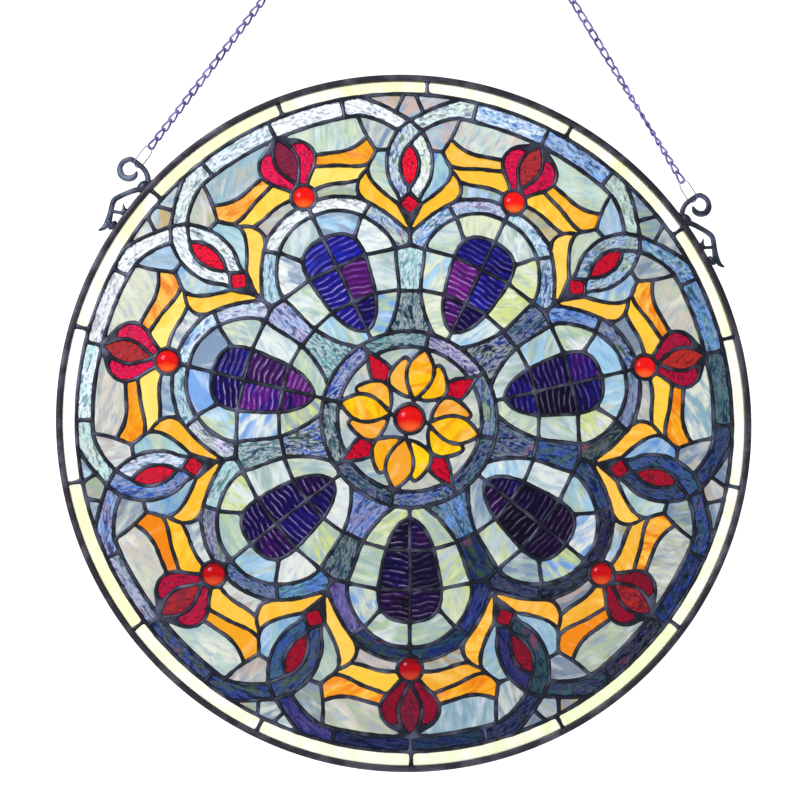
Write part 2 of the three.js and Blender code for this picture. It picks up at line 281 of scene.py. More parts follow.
PETAL = [
    curve((0, 175.5), (10, 174.3), (19.5, 170.5), (26, 161.5), (27.2, 148), (24.5, 130),
          (20.5, 112), (15.3, 99.5), (8.5, 90.5), (0, 85.5)),
    line((0, 85.5), (0, 175.5)),
    line((0, 147.5), (27.4, 147.5)),
    line((0, 113.5), (20.9, 113.5)),
    curve((0, 197.5), (19, 194.3), (36.5, 183.5), (48, 168.5), (53.8, 153), (53.8, 141.7),
          (51, 134.5), (41, 107), (27, 88), (13, 76.2)),
    line((0, 175.5), (0, 204.6)),
    line((25, 164), (40, 180.3)),
    line((27.2, 147.2), (53.8, 141.7)),
    line((20.7, 112.8), (43.5, 106.3)),
    line((0, 77.3), (0, 85.5)),
    curve((7.5, 208.9), (14, 208.2), (24, 205.7), (36, 200), (47, 192.4), (61, 172.5),
          (71.6, 148.7)),
    line((41, 179.5), (51.5, 187)),
    curve((10.8, 217.8), (20, 217.7), (30, 215.7), (40, 212.2), (51, 209.8)),
    curve((20, 237), (30, 233), (40, 229.3), (50, 224.2), (58, 220.6), (66.4, 219.1)),
    curve((25.2, 246), (40, 241.8), (50, 238.9), (60, 238.3), (68, 239.6), (76, 242.2)),
    curve((62.8, 215.6), (58, 214), (52, 210.5), (47.3, 204.8), (45.8, 199), (48, 191.5)),
    curve((7.2, 223.9), (13, 230.5), (20, 237), (24.8, 244.5), (25.2, 253), (20.5, 261),
          (12, 266.6), (0, 272.8)),
    curve((20.5, 261), (14.5, 264), (8, 262.5)),
    curve((0, 228), (5, 236), (9.2, 245), (10.3, 252), (8.3, 261), (4, 268), (0, 272.8)),
    line((0, 226.6), (0, 228)),
    line((0, 272.8), (0, 294)),
    line(arc(SCALLOP - 1, 13.6, 13.6)[0], arc(294, 13.6, 13.6)[0]),
    arc(SCALLOP, 0, SCALLOP_END),
]
GAP = [
    line((0, 154.5), (-12.6, 151)),
    line((0, 113.5), (-11, 113.5)),
    line((0, 154.5), (0, 180.5)),
    curve((-10.5, 191), (-7, 184.5), (-3.2, 177.5), (0, 171)),
    line((0, 201.5), (-10.5, 191)),
    line((-10.5, 191), (0, 180.5)),
    curve((-29.5, 238.5), (-32.3, 232), (-35.8, 226), (-37, 220), (-35, 213.5), (-30.5, 207.5),
          (-22.5, 200), (-10.5, 191)),
    curve((-8.5, 193), (-11, 200), (-15, 206), (-18.5, 214), (-20.2, 226), (-19.5, 236),
          (-16.5, 246), (-11, 257)),
    curve((0, 245), (-4.5, 240), (-7.8, 232), (-8.3, 225), (-6, 214), (0, 205)),
    line((0, 201.5), (0, 205)),
    line((-11, 257), (0, 266.5)),
    line((-29.5, 238.5), (-19.2, 239.5)),
    curve((-46, 269), (-41.5, 258), (-37, 250), (-32.5, 243), (-29.5, 238.5)),
    curve((-45, 269.1), (-38, 268.3), (-30, 266.2), (-20, 262.3), (-11, 257)),
    curve((-54, 290.5), (-47, 287), (-38, 284.2), (-29, 281.2), (-20, 277.3), (-10, 272),
          (0, 266.5)),
    line((-3.2, 294), (-12.2, 273.2)),
]
CROSSING = curve((0, 245), (4.5, 250.5), (11, 257))  # the left crescent passes over the right


def diagonal(along, across):
    """A point by its distance along the line at 45 degrees, and across it."""
    return (along + across) / math.sqrt(2), (along - across) / math.sqrt(2)


LEANING = (24.6, 24.6)  # where two half petals of the flower meet
DROP_TIP = 71.0  # the red drops point into the ring
DROP_MOUTH = 42.0  # degrees at which the ring's inner seam meets a drop
FLOWER = [
    curve((0, 63.4), (6, 57), (10.6, 49.5), (12.1, 42), (10.6, 33.5), (6.2, 25), (0, 16.5)),
    curve((11, 48.5), (15.5, 52.3), (21, 46.5), (25, 38.6), (26.4, 31.5), LEANING),
    curve((1.6, 18.8), (8, 18.2), (16, 20.3), LEANING),
    line((0, 13), (0, 16.5)),
    line((0, RING_IN), (0, RING_OUT)),
    curve(diagonal(DROP_TIP, 0), diagonal(63.4, 3.4), diagonal(54.5, 7.6), (38.6, 25), step=2.0),
    line(diagonal(DROP_TIP, 0), diagonal(RING_OUT, 0)),
    arc(RING_IN, 0, DROP_MOUTH, CURVE_STEP),
]
CENTRE_SEAM = 13.0
print("seams drawn by hand:", len(PETAL) + len(GAP) + len(FLOWER))

# %% [markdown]
# Hand work is never quite regular. The rose sits a little off the rim's centre and is turned a
# little, and every cut wanders by a fraction of a millimetre. `place` brings a point of the rose
# to its place on the panel and adds a slow, smooth wander, the same for all that meet there.

# %% From the rose to the panel
ROSE_SHIFT = (-1.5, -2.5)
ROSE_TWIST = math.radians(2.2)
FLOWER_TWIST = math.radians(12.7)
WANDER = 0.7  # how far a cut strays
WANDER_SCALE = 1 / 45
BORDER_BREAKS = 14
FIRST_BREAK, BREAK_PITCH = 52.8, -26.1  # degrees clockwise from the top
HIDDEN_EDGE = RIM_RADIUS - 3.2  # the outermost solder lies inside the rim's channel


def place(points):
    moved = turn(points, -ROSE_TWIST) + ROSE_SHIFT
    wander = [noise.noise_vector((x * WANDER_SCALE, y * WANDER_SCALE, 7.0)) for x, y in moved]
    return moved + WANDER * np.array([(v.x, v.y) for v in wander])


def petal_angle(k):
    return math.pi + k * SECTOR


def gap_angle(k):
    return petal_angle(k) + SECTOR / 2


def round_the_rose(points, angles):
    """Copies of a half seam and its mirror image, at each angle."""
    twins = [points] if np.abs(points[:, 0]).max() < 0.01 else [points, mirror(points)]
    return [place(turn(twin, angle)) for angle in angles for twin in twins]


def trimmed(points):
    """A seam that runs out to the border's seam stops just past it."""
    past = np.hypot(*points.T) - (BORDER + 0.8)
    kept = []
    for here, there, a, b in zip(points, points[1:], past, past[1:]):
        if a <= 0:
            kept.append(here)
        if a * b < 0:
            kept.append(here + (there - here) * a / (a - b))
    if past[-1] <= 0:
        kept.append(points[-1])
    return np.array(kept)


def overrun(points, extra=1.0):
    """A seam runs on a little at both ends, so that it surely meets its neighbour."""
    first = points[0] - points[1]
    last = points[-1] - points[-2]
    start = points[0] + first / np.linalg.norm(first) * extra
    end = points[-1] + last / np.linalg.norm(last) * extra
    return np.vstack([start, points, end])


petals = [petal_angle(k) for k in range(PETALS)]
gaps = [gap_angle(k) for k in range(PETALS)]
quarters = [FLOWER_TWIST + k * math.pi / 2 for k in range(4)]
seams = []
for seam in PETAL:
    seams += round_the_rose(overrun(seam), petals)
for seam in GAP:
    seams += round_the_rose(overrun(seam), gaps)
seams += [place(turn(CROSSING, angle)) for angle in gaps]
for seam in FLOWER:
    seams += round_the_rose(overrun(seam), quarters)
seams = [trimmed(seam) for seam in seams]
jewel_seam = arc(JEWEL_SEAM, 0, 360, CURVE_STEP, (0, JEWEL_CIRCLE))
seams += [place(turn(jewel_seam, angle)) for angle in petals]
seams += [place(arc(r, 0, 360, CURVE_STEP)) for r in (RING_OUT, CENTRE_SEAM)]
seams += [arc(r, 10, 370) for r in (BORDER, HIDDEN_EDGE)]
for k in range(BORDER_BREAKS):
    angle = FIRST_BREAK + k * BREAK_PITCH
    ends = [arc(r, angle, angle)[0] for r in (BORDER - 1, HIDDEN_EDGE)]
    seams.append(line(*ends))
total = sum(np.linalg.norm(np.diff(seam, axis=0), axis=1).sum() for seam in seams)
print(f"{len(seams)} seams, {total / 1000:.1f} m in all")

# %% [markdown]
# The seams cut the disc into tiles. Blender can triangulate the disc so that no triangle
# crosses a seam. Triangles that can be reached from one another without crossing a seam are one
# tile, and the edges round them are its outline.


# %% Cut the disc into tiles
def cut_tiles(seams):
    """The corners of all seams, and each tile's outline as a loop of corners."""
    corners, edges = [], []
    for seam in seams:
        first = len(corners)
        corners += [Vector(point) for point in seam]
        edges += [(first + i, first + i + 1) for i in range(len(seam) - 1)]
    merge = 0.3  # corners nearer than this become one
    found = geometry.delaunay_2d_cdt(corners, edges, [], 0, merge)
    points = np.array([tuple(corner) for corner in found[0]])
    seam_edges = {frozenset(edge) for edge, source in zip(found[1], found[4]) if source}
    owners = {}
    for i, face in enumerate(found[2]):
        for a, b in zip(face, [*face[1:], face[0]]):
            owners[a, b] = i
    tile_of = [None] * len(found[2])
    count = 0
    for seed in range(len(tile_of)):
        if tile_of[seed] is not None:
            continue
        stack = [seed]
        tile_of[seed] = count
        while stack:
            face = found[2][stack.pop()]
            for a, b in zip(face, [*face[1:], face[0]]):
                other = owners.get((b, a))
                if other is None or frozenset((a, b)) in seam_edges:
                    continue
                if tile_of[other] is None:
                    tile_of[other] = count
                    stack.append(other)
        count += 1
    follows = [{} for _ in range(count)]
    for (a, b), face in owners.items():
        other = owners.get((b, a))
        if other is None or tile_of[other] != tile_of[face]:
            follows[tile_of[face]].setdefault(a, []).append(b)
    return points, [walk(steps) for steps in follows]


def walk(steps):
    """The longest closed loop through a tile's border edges."""
    loops = []
    steps = {a: list(targets) for a, targets in steps.items()}
    while steps:
        start = next(iter(steps))
        loop = [start]
        while True:
            targets = steps[loop[-1]]
            following = targets.pop()
            if not targets:
                del steps[loop[-1]]
            if following == start or following not in steps:
                break
            loop.append(following)
        loops.append(loop)
    return max(loops, key=len)


def area(loop):
    x, y = loop.T
    return (x @ np.roll(y, -1) - y @ np.roll(x, -1)) / 2


corners, outlines = cut_tiles(seams)
outlines = [loop for loop in outlines if np.hypot(*corners[loop].mean(0)) < HIDDEN_EDGE - 1]
areas = [area(corners[loop]) for loop in outlines]
print(f"{len(outlines)} tiles, the largest {max(areas):.0f} mm2")

# %% [markdown]
# A tile's glass is known by a point that lies in it, drawn in the same petal, gap or flower
# frame as the seams. Places that no point names are slits too narrow for glass, which a glazier
# fills with solder.

# %% Name the tiles
SEEDS = {
    "core": ("petal", (10, 160), (12, 130), (7, 100)),
    "petal": ("petal", (14, 186), (40, 164), (38, 127), (20, 93)),
    "band": ("petal", (25, 200), (60, 165)),
    "sliver": ("petal", (30, 211)),
    "inner_ribbon": ("petal", (36, 222)),
    "outer_ribbon": ("petal", (42, 234)),
    "lobe": ("petal", (17, 248)),
    "tulip_heart": ("petal", (0, 250)),
    "jewel": ("petal", (0, JEWEL_CIRCLE)),
    "opal": ("petal", (42, 256)),
    "channel": ("gap", (0, 135), (0, 98)),
    "scallop": ("gap", (-38, 276), (-92, 264)),
    "leaf": ("gap", (-21, 191)),
    "diamond": ("gap", (0, 191), (0, 225)),
    "crescent": ("gap", (-14, 226)),
    "pale_crescent": ("gap", (-28, 222)),
    "corner_opal": ("gap", (-26, 252), (0, 279), (-22, 283.5)),
    "flower_petal": ("quarter", (0, 40), (19, 38)),
    "flower_kite": ("quarter", diagonal(22, 0)),
    "flower_drop": ("quarter", diagonal(50, 0)),
    "flower_corner": ("quarter", (28, 53)),
    "ring": ("quarter", (26.9, 64.9)),
    "jewel_seat": ("quarter", (0, 0)),
}
FRAMES = {"petal": petals, "gap": gaps, "quarter": quarters}


def holds(loop, point):
    """True if the point is inside the loop: a line from it crosses the loop an odd number of times."""
    x, y = point
    ax, ay = loop.T
    bx, by = np.roll(loop, -1, axis=0).T
    spans = (ay > y) != (by > y)
    with np.errstate(divide="ignore", invalid="ignore"):
        crossing = ax + (y - ay) * (bx - ax) / (by - ay)
    return np.count_nonzero(spans & (x < crossing)) % 2 == 1


seeds = []
for kind, (where, *points) in SEEDS.items():
    for point in points:
        for spot in round_the_rose(np.array([point]), FRAMES[where]):
            seeds.append((kind, spot[0]))
for k in range(BORDER_BREAKS):
    last = k == BORDER_BREAKS - 1
    middle = FIRST_BREAK + BREAK_PITCH * (k + (0.4 if last else 0.5))
    seeds.append(("strip", arc((BORDER + HIDDEN_EDGE) / 2, middle, middle)[0]))

tiles = []  # (kind, outline)
for loop in outlines:
    found = {kind for kind, spot in seeds if holds(corners[loop], spot)}
    tiles.append((min(found, default=None), loop))
    if len(found) > 1:
        print("one tile has two names:", found)
kinds = sorted({kind for kind, _ in tiles if kind})
for kind in [*kinds, None]:
    print(kind or "solder", sum(name == kind for name, _ in tiles), end="; ")
print()

# %% [markdown]
# ## Making pieces
#
# Every piece is a plain mesh whose points are already in their place, on an object at the
# origin. Each one rides on the body of the solid model, and the solids that it stands for are
# hidden.


# %% From points to a piece
def build_mesh(name, points, faces, smooth=False):
    mesh = bpy.data.meshes.new(name)
    mesh.from_pydata([tuple(p) for p in points], [], faces)
    mesh.validate()
    mesh.shade_smooth() if smooth else mesh.shade_flat()
    return mesh


def finish_piece(name, mesh, material, slot, nodes):
    """The mesh as a piece of the window, in place of the solids that it shows."""
    piece = bpy.data.objects.new(name, mesh)
    bpy.context.scene.collection.objects.link(piece)
    mesh.materials.clear()
    mesh.materials.append(material)
    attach(piece, ROOT)
    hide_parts(*nodes)
    triangles = sum(len(face.vertices) - 2 for face in mesh.polygons)
    print(f"{name}: {triangles} triangles")
    return piece


def numbered(word, count=PETALS):
    return [f"{word}_{k + 1}" for k in range(count)]


# %% [markdown]
# ## Shrinking an outline
#
# The solder covers a strip of glass beside each seam. Its edge is the tile's outline moved
# inwards. In a sharp corner the moved points run into each other, and there they are drawn
# together into one. A little smoothing then rounds the corners, as solder does when it flows.


# %% Move an outline inwards
def shrink(loop, width, waver=0.0):
    """The outline moved in by a width, one point for each of its own, or None if it's too thin.

    The edge wavers in and out a little, as hand soldering does.
    """
    along = np.roll(loop, -1, axis=0) - loop
    length = np.linalg.norm(along, axis=1)
    inward = np.c_[-along[:, 1], along[:, 0]] / length[:, None]
    before = np.roll(inward, 1, axis=0)
    middle = inward + before
    middle /= np.maximum(np.linalg.norm(middle, axis=1), 0.2)[:, None]
    reach = width / np.clip((middle * inward).sum(1), 0.55, 1)
    moved = loop + middle * reach[:, None]
    drift = np.array([noise.noise((x / 5, y / 5, 9.0)) for x, y in loop])
    offset = moved[:, None] - loop[None]
    share = np.clip((offset * along[None]).sum(2) / (length**2)[None], 0, 1)
    gaps_to_seams = np.linalg.norm(offset - share[..., None] * along[None], axis=2).min(1)
    good = (gaps_to_seams > 0.93 * width) & np.array([holds(loop, p) for p in moved])
    if good.sum() < 4:
        return None
    start = int(np.argmax(good))
    order = np.roll(np.arange(len(loop)), -start)
    runs = []  # runs of points that end up together
    for i in order:
        if good[i] or good[runs[-1][-1]]:
            runs.append([i])
        else:
            runs[-1].append(i)
    spots = np.empty((len(runs), 2))
    for j, run in enumerate(runs):
        if good[run[0]]:
            spots[j] = moved[run[0]]
        else:
            spots[j] = (moved[runs[j - 1][0]] + moved[runs[(j + 1) % len(runs)][0]]) / 2
    spots = spots * 0.64 + (np.roll(spots, 1, axis=0) + np.roll(spots, -1, axis=0)) * 0.18
    shrunk = np.empty_like(loop)
    for spot, run in zip(spots, runs):
        shrunk[run] = spot + middle[run[0]] * waver * drift[run[0]]
    return shrunk


BAR, BAR_WAVER = 3.4, 0.5  # width of a solder line, and how much it wanders
shrunk = [shrink(corners[loop], BAR / 2, BAR_WAVER) if kind else None for kind, loop in tiles]
print("tiles too thin for glass:", sum(s is None and k is not None for s, (k, _) in zip(shrunk, tiles)))

# %% [markdown]
# ## Solder
#
# In section a seam is like an H: a thin wall of foil and solder between two tiles, and a round
# bead on each face that laps over the glass. Each tile gets rings of points, from the top of
# the bead down to its edge, under it and through to the back. Neighbours share the points on
# top, so all rings together are one closed skin. The bead's height wavers a little, because it
# is laid by hand, and narrow slits between tiles are flooded with solder.

# %% The solder's skin
BEAD = 0.85  # how far the solder stands above the glass
BEAD_WAVER = 0.16
SHOULDER = 0.55  # the middle ring's place between a bead's top and its edge
SHOULDER_HEIGHT = 0.84
FOIL = 0.5  # the wall between two tiles, as a share of half the bar


def bead_height(point):
    """Height of the solder's top above the panel's middle plane."""
    x, y = point
    waver = noise.noise((x / 7, y / 7, 1.0)) + 0.6 * noise.noise((x / 3, y / 3, 5.0))
    if math.hypot(x, y) > LIP_RADIUS - 1:
        return GLASS / 2 + BEAD / 2
    return GLASS / 2 + BEAD + BEAD_WAVER * waver


def solder_skin(members):
    """Points and faces of the solder round some tiles, given as pairs of outline and opening."""
    points, faces, smooth = [], [], []
    tops = {}

    def put(x, y, depth):
        points.append(world(x, y, depth))
        return len(points) - 1

    def top(corner):
        if corner not in tops:
            height = bead_height(corners[corner])
            tops[corner] = [put(*corners[corner], side * height) for side in (1, -1)]
        return tops[corner]

    def strip(ring, following, is_smooth):
        for i in range(len(ring)):
            j = (i + 1) % len(ring)
            face = list(dict.fromkeys((ring[i], ring[j], following[j], following[i])))
            if len(face) > 2:
                faces.append(face)
                smooth.append(is_smooth)

    used = {}
    for outline, opening in members:
        for a, b in zip(outline, [*outline[1:], outline[0]]):
            used[a, b] = True
        front = [top(corner)[0] for corner in outline]
        back = [top(corner)[1] for corner in outline]
        if opening is None:
            faces += [front, back[::-1]]
            smooth += [True, True]
            continue
        here = corners[outline]
        heights = np.array([bead_height(p) for p in here]) - GLASS / 2
        shoulder = here + (opening - here) * SHOULDER
        wall = here + (opening - here) * FOIL
        rings = [front, [], [], [], [], [], [], back]
        for i in range(len(outline)):
            h = GLASS / 2 + heights[i] * SHOULDER_HEIGHT
            rings[1].append(put(*shoulder[i], h))
            rings[6].append(put(*shoulder[i], -h))
            same = i and (opening[i] == opening[i - 1]).all()
            for ring, side in ((2, 1), (5, -1)):
                edge = rings[ring][-1] if same else put(*opening[i], side * (GLASS / 2 + 0.05))
                rings[ring].append(edge)
            rings[3].append(put(*wall[i], GLASS / 2 + 0.02))
            rings[4].append(put(*wall[i], -GLASS / 2 - 0.02))
        for k in range(len(rings) - 1):
            strip(rings[k], rings[k + 1], k in (0, 1, 5, 6))
    for a, b in used:
        if (b, a) not in used:
            faces.append([top(b)[0], top(a)[0], top(a)[1], top(b)[1]])
            smooth.append(False)
    return points, faces, smooth


def patina_finish(name, colour, sheen, rough=0.42, bump_scale=0.35):
    """Metal under a dark chemical patina, a little uneven, with lighter patches that stand for wear and for a
    painted sheen.
    """
    material, tree, shader = new_material(name)
    spot = tree.node("ShaderNodeTexCoord", output=3)
    grain = tree.cloud(spot, 900, detail=3)
    patches = tree.cloud(spot, 60, detail=4)
    # Painted sheen and wear: random lighter patches.
    wear_and_sheen = patches.clamp(0.45, 0.7)
    feed(shader, base_color=wear_and_sheen.blend(rgba(colour), rgba(sheen)))
    feed(shader, roughness=rough + 0.25 * (grain - 0.5))
    bump = {"Strength": bump_scale, "Distance": 0.0004, "Height": grain}
    feed(shader, normal=tree.node("ShaderNodeBump", feeds=bump))
    shader.inputs["Metallic"].default_value = 0.75
    return material


# %% Run the solder
HEART = {"core", "petal", "band", "channel", "ring", "jewel_seat"}
HEART |= {kind for kind in kinds if kind.startswith("flower")}
solder = patina_finish("solder_patina", "282b38", "6c7088")
zones = {"solder_heart": [], "solder_garland": []}
for (kind, outline), opening in zip(tiles, shrunk):
    middle = np.hypot(*(turn(corners[outline].mean(0) - ROSE_SHIFT, 0)))
    inner = kind in HEART or (kind is None and middle < RING_IN)
    zones["solder_heart" if inner else "solder_garland"].append((outline, opening))
for name, members in zones.items():
    points, faces, smooth = solder_skin(members)
    mesh = build_mesh(name, points, faces)
    if len(mesh.polygons) == len(smooth):
        mesh.polygons.foreach_set("use_smooth", smooth)
    finish_piece(name, mesh, solder, "solder", ["solder_net"])

# %% [markdown]
# ## Glass
#
# Three sorts of sheet glass are used. Opalescent glass is milky, with wisps of colour that were
# stirred into it. Rippled glass has one face like water in the wind, and its blue and violet
# sheets carry a thin silvery lustre, with a painted sheen that is brightest at the upper left.
# Cathedral glass is clear, in one strong colour. A tile is cut from any part of a sheet, so each
# one gets its own `tint`, and its own flat coordinates called `cut`, turned and shifted, so that
# no pattern runs on from one tile to the next.


# %% Tiles of one kind
def tile_piece(name, members, tints_of, lie_of, material, slot, nodes):
    """One piece of all tiles in members: triples of kind, outline and opening."""
    under = 0.62  # the glass goes in under the solder, as a share of the bar's half width
    points, faces, tints, streaks, cuts = [], [], [], [], []
    for kind, outline, opening in members:
        here = corners[outline]
        edge = here + (opening - here) * under
        middle = edge.mean(0)
        tint, streak = tints_of(kind, middle)
        shift = np.array([dice.uniform(0, 500), dice.uniform(0, 500)])
        flat = turn(edge - middle, lie_of(edge)) + shift
        first = len(points)
        count = len(edge)
        for depth in (GLASS / 2, -GLASS / 2):
            points += [world(*p, depth) for p in edge]
            cuts += [tuple(p) for p in flat]
        tints += [tint] * 2 * count
        streaks += [streak] * 2 * count
        front = list(range(first, first + count))
        back = list(range(first + count, first + 2 * count))
        faces += [front, back[::-1]]
        for i in range(count):
            j = (i + 1) % count
            faces.append([back[i], back[j], front[j], front[i]])
    mesh = build_mesh(name, points, faces)
    for label, colours in (("tint", tints), ("streak", streaks)):
        layer = mesh.attributes.new(label, "FLOAT_COLOR", "POINT")
        layer.data.foreach_set("color", np.array(colours, np.float32).ravel())
    layer = mesh.uv_layers.new(name="cut")
    for corner in mesh.loops:
        layer.data[corner.index].uv = cuts[corner.vertex_index]
    return finish_piece(name, mesh, material, slot, nodes)


# %% [markdown]
# A sheet's colour runs from its tint to its streak and back, in long soft wisps. Rippled sheets
# have ridges too. Light breaks on the ridges, which is painted as bright threads, and painted
# shade stands for the light that is lost in the thick glass between them. How bright the threads
# are goes with the lustre and painted sheen, which each tile carries in the last channel of its tint.


# %% Sheets of glass
def glass_sheet(name, wisp, rough, clarity, bumps=0.3):
    """A sheet with wisps: how long and wide they are in mm, and how sharp from 0 to 1."""
    material, tree, shader = new_material(name)
    long, wide, sharp = wisp
    cut = tree.node("ShaderNodeUVMap", {"uv_map": "cut"})
    tint = tree.node("ShaderNodeAttribute", {"attribute_name": "tint"})
    streak = tree.node("ShaderNodeAttribute", {"attribute_name": "streak"})
    run = tree.cloud(tree.stretched(cut, (1 / long, 1 / wide, 1)), 1, detail=3, distortion=1.0)
    half = 0.03 + 0.16 * (1 - sharp)
    colour = run.clamp(0.5 - half, 0.5 + half).blend(tint, streak)
    shader.inputs["Roughness"].default_value = rough
    shader.inputs["Transmission Weight"].default_value = clarity
    shader.inputs["IOR"].default_value = 1.5
    shader.inputs["Specular IOR Level"].default_value = 0.25
    shader.inputs["Specular Tint"].default_value = rgba("9a9cb0")  # reflections are kept low
    height = tree.cloud(cut, 0.35, detail=3) * bumps
    return material, tree, shader, cut, colour, height


def finish_sheet(shader, colour, height):
    bump = {"Strength": 0.6, "Distance": 0.0006, "Height": height}
    feed(shader, base_color=colour, normal=height.node("ShaderNodeBump", feeds=bump))


def opal_sheet(name, wisp=(26, 10, 0.7), rough=0.35, veil=0.5):
    material, tree, shader, cut, colour, height = glass_sheet(name, wisp, rough, 0.85)
    milk = tree.cloud(tree.stretched(cut, (0.03, 0.08, 1)), 1, detail=3, distortion=1.2)
    colour = (milk.clamp(0.5, 0.72) * 0.45).blend(colour, rgba("fbfcf8"))
    smoke = tree.cloud(tree.stretched(cut, (0.07, 0.24, 1)), 1, detail=4, distortion=0.9)
    colour = (smoke.clamp(0.46, 0.66) * veil).blend(colour, rgba("6c94be"))
    finish_sheet(shader, colour, height)
    return material


def ripple_sheet(name, ridge, thread, wisp=(14, 6, 0.4), rough=0.2):
    """Ridges are given as long, wide and wild: length and width in mm, and how much they bend."""
    material, tree, shader, cut, colour, height = glass_sheet(name, wisp, rough, 0.9)
    long, wide, wild = ridge
    lustre_and_sheen = tree.node("ShaderNodeAttribute", {"attribute_name": "tint"}, output=3)
    wave = tree.cloud(tree.stretched(cut, (1 / long, 1 / wide, 1)), 1, detail=1, distortion=wild)
    crest = 1 - abs((wave - 0.5) * 6)
    crest = crest.clamp(0.0, 1.0)
    # Painted shade between the ridges, towards a valley colour that is lighter where the painted sheen is strong.
    shade = wave.clamp(0.3, 0.62)
    valley = lustre_and_sheen.clamp(0.35, 0.95).blend(rgba("080e24"), rgba("5468b8"))
    colour = ((0.72 - 0.2 * lustre_and_sheen) * (1 - shade)).blend(colour, valley)
    specks = tree.cloud(tree.stretched(cut, (0.16, 0.5, 1)), 1, detail=3, distortion=0.6)
    colour = (specks.clamp(0.54, 0.64) * 0.75).blend(colour, rgba("1c2668"))
    # Painted highlight: bright threads on the crests, as strong as the painted sheen.
    colour = ((crest**2) * lustre_and_sheen.clamp(0.03, 0.75)).blend(colour, rgba(thread))
    stain = tree.cloud(tree.stretched(cut, (0.03, 0.05, 1)), 1, detail=2).clamp(0.66, 0.76)
    colour = (stain * 0.6).blend(colour, rgba("8a3c60"))
    finish_sheet(shader, colour, crest + height)
    return material


def amber_sheet(name):
    material, tree, shader, cut, colour, height = glass_sheet(name, (20, 8, 0.5), 0.3, 0.9)
    haze = tree.cloud(tree.stretched(cut, (0.04, 0.12, 1)), 1, detail=3, distortion=1.0)
    colour = (haze.clamp(0.55, 0.8) * 0.35).blend(colour, rgba("fde8b0"))
    finish_sheet(shader, colour, height)
    return material


def ruby_sheet(name):
    material, tree, shader, cut, colour, height = glass_sheet(name, (9, 6, 0.3), 0.12, 0.95, 1.0)
    dimples = tree.cloud(tree.stretched(cut, (0.22, 0.5, 1)), 1, detail=2, distortion=0.9)
    dimples = dimples.clamp(0.34, 0.54)
    colour = (0.7 * (1 - dimples)).blend(colour, rgba("38040e"))
    finish_sheet(shader, colour, dimples + height)
    return material


def corded_sheet(name, thread, pitch):
    """Fine wavy cords a pitch apart that lie across the tile."""
    material, tree, shader, cut, colour, height = glass_sheet(name, (20, 9, 0.3), 0.2, 0.9)
    sway = tree.cloud(tree.stretched(cut, (0.05, 0.03, 1)), 1, detail=1)
    across = tree.node("ShaderNodeSeparateXYZ", feeds={0: cut}, output=1)
    phase = across * (2 * math.pi / pitch) + sway * 11
    cord = (tree.maths("SINE", phase) + 1) * 0.5
    broken = tree.cloud(tree.stretched(cut, (0.1, 0.2, 1)), 1, detail=2).clamp(0.4, 0.62)
    # Painted shade between the cords.
    colour = (0.55 * (1 - cord)).blend(colour, rgba("060410"))
    lustre_and_sheen = tree.node("ShaderNodeAttribute", {"attribute_name": "tint"}, output=3)
    # Painted highlight: bright broken threads on the cords, as strong as the painted sheen.
    colour = ((cord**14) * broken * lustre_and_sheen).blend(colour, rgba(thread))
    finish_sheet(shader, colour, cord + height)
    return material


# %% [markdown]
# The silvery blue sheets look light where they catch the sky and nearly black where they don't.
# That light and shade is painted into their tints, which go from silver at the upper left to
# midnight blue at the lower right, with a jump from tile to tile. The other sheets get the same
# painted light, but less.

# %% Tints
dice = random.Random(7)
BLUES = ["080c26", "14297a", "2a50b0", "5c96e4", "a8d2f2", "f4fbfc"]
TEALS = ["0e181e", "1c424c", "32686e", "62a6ae", "acdede", "f2fbfa"]
OLIVES = ["10160a", "263e18", "44683a", "7c9a74", "b6ccb0", "f0f6ee"]
LILACS = ["100c20", "2c2054", "54488c", "9288c4", "c8c2ea", "f6f4fc"]
HEARTS = ["04020c", "0c0626", "160c58", "2024b4", "3c5ce0"]
WINES = ["0a0212", "1e0834", "401262", "7a2490", "a448bc"]
MILKS = ["f8fcf6", "eef8f4", "c4dab4", "e0ec98", "b8cec4", "84b4f6", "b0dcfa", "8ca0bc", "e8f0cc",
         "d4e4e4"]
FIELDS = ["dfe2cc", "cbe2d6", "b4cfdf", "f4f6e4", "c9d8b8", "b9bfb4", "98bccb", "dcd2c4"]
SKIES = ["8ab8e8", "a8d0d8", "6f9fe0", "b8ccb8", "9cc0c8", "c4d4bc", "a4c8e4"]
CLOUDS = ["c8ccc0", "d8d4c4", "b4c8cc", "c0ccb8", "dcdcd0", "a8bcc8"]
GREYS = ["9aa6b8", "bdc4ba", "a9c2d2", "8692a2", "a9b89a", "c9c9bc", "7f93b0", "c4ae7c", "ccb6b0",
         "b2d2ee", "e2ebe2"]


def on_row(codes, share):
    """A colour a share of the way along a row of colours."""
    at = min(max(share, 0), 0.999) * (len(codes) - 1)
    low, high = (np.array(rgba(codes[int(at) + step])) for step in (0, 1))
    return low + (high - low) * (at % 1)


def skylight(middle):
    """How much painted sky light a tile gets: 1 at the panel's upper left, 0 at its lower right."""
    x, y = middle / RIM_RADIUS
    return 0.5 + 0.5 * (0.85 * y - 0.5 * x)


def with_lustre_and_sheen(colour, lustre_and_sheen):
    return (*[float(c) for c in colour[:3]], float(lustre_and_sheen))


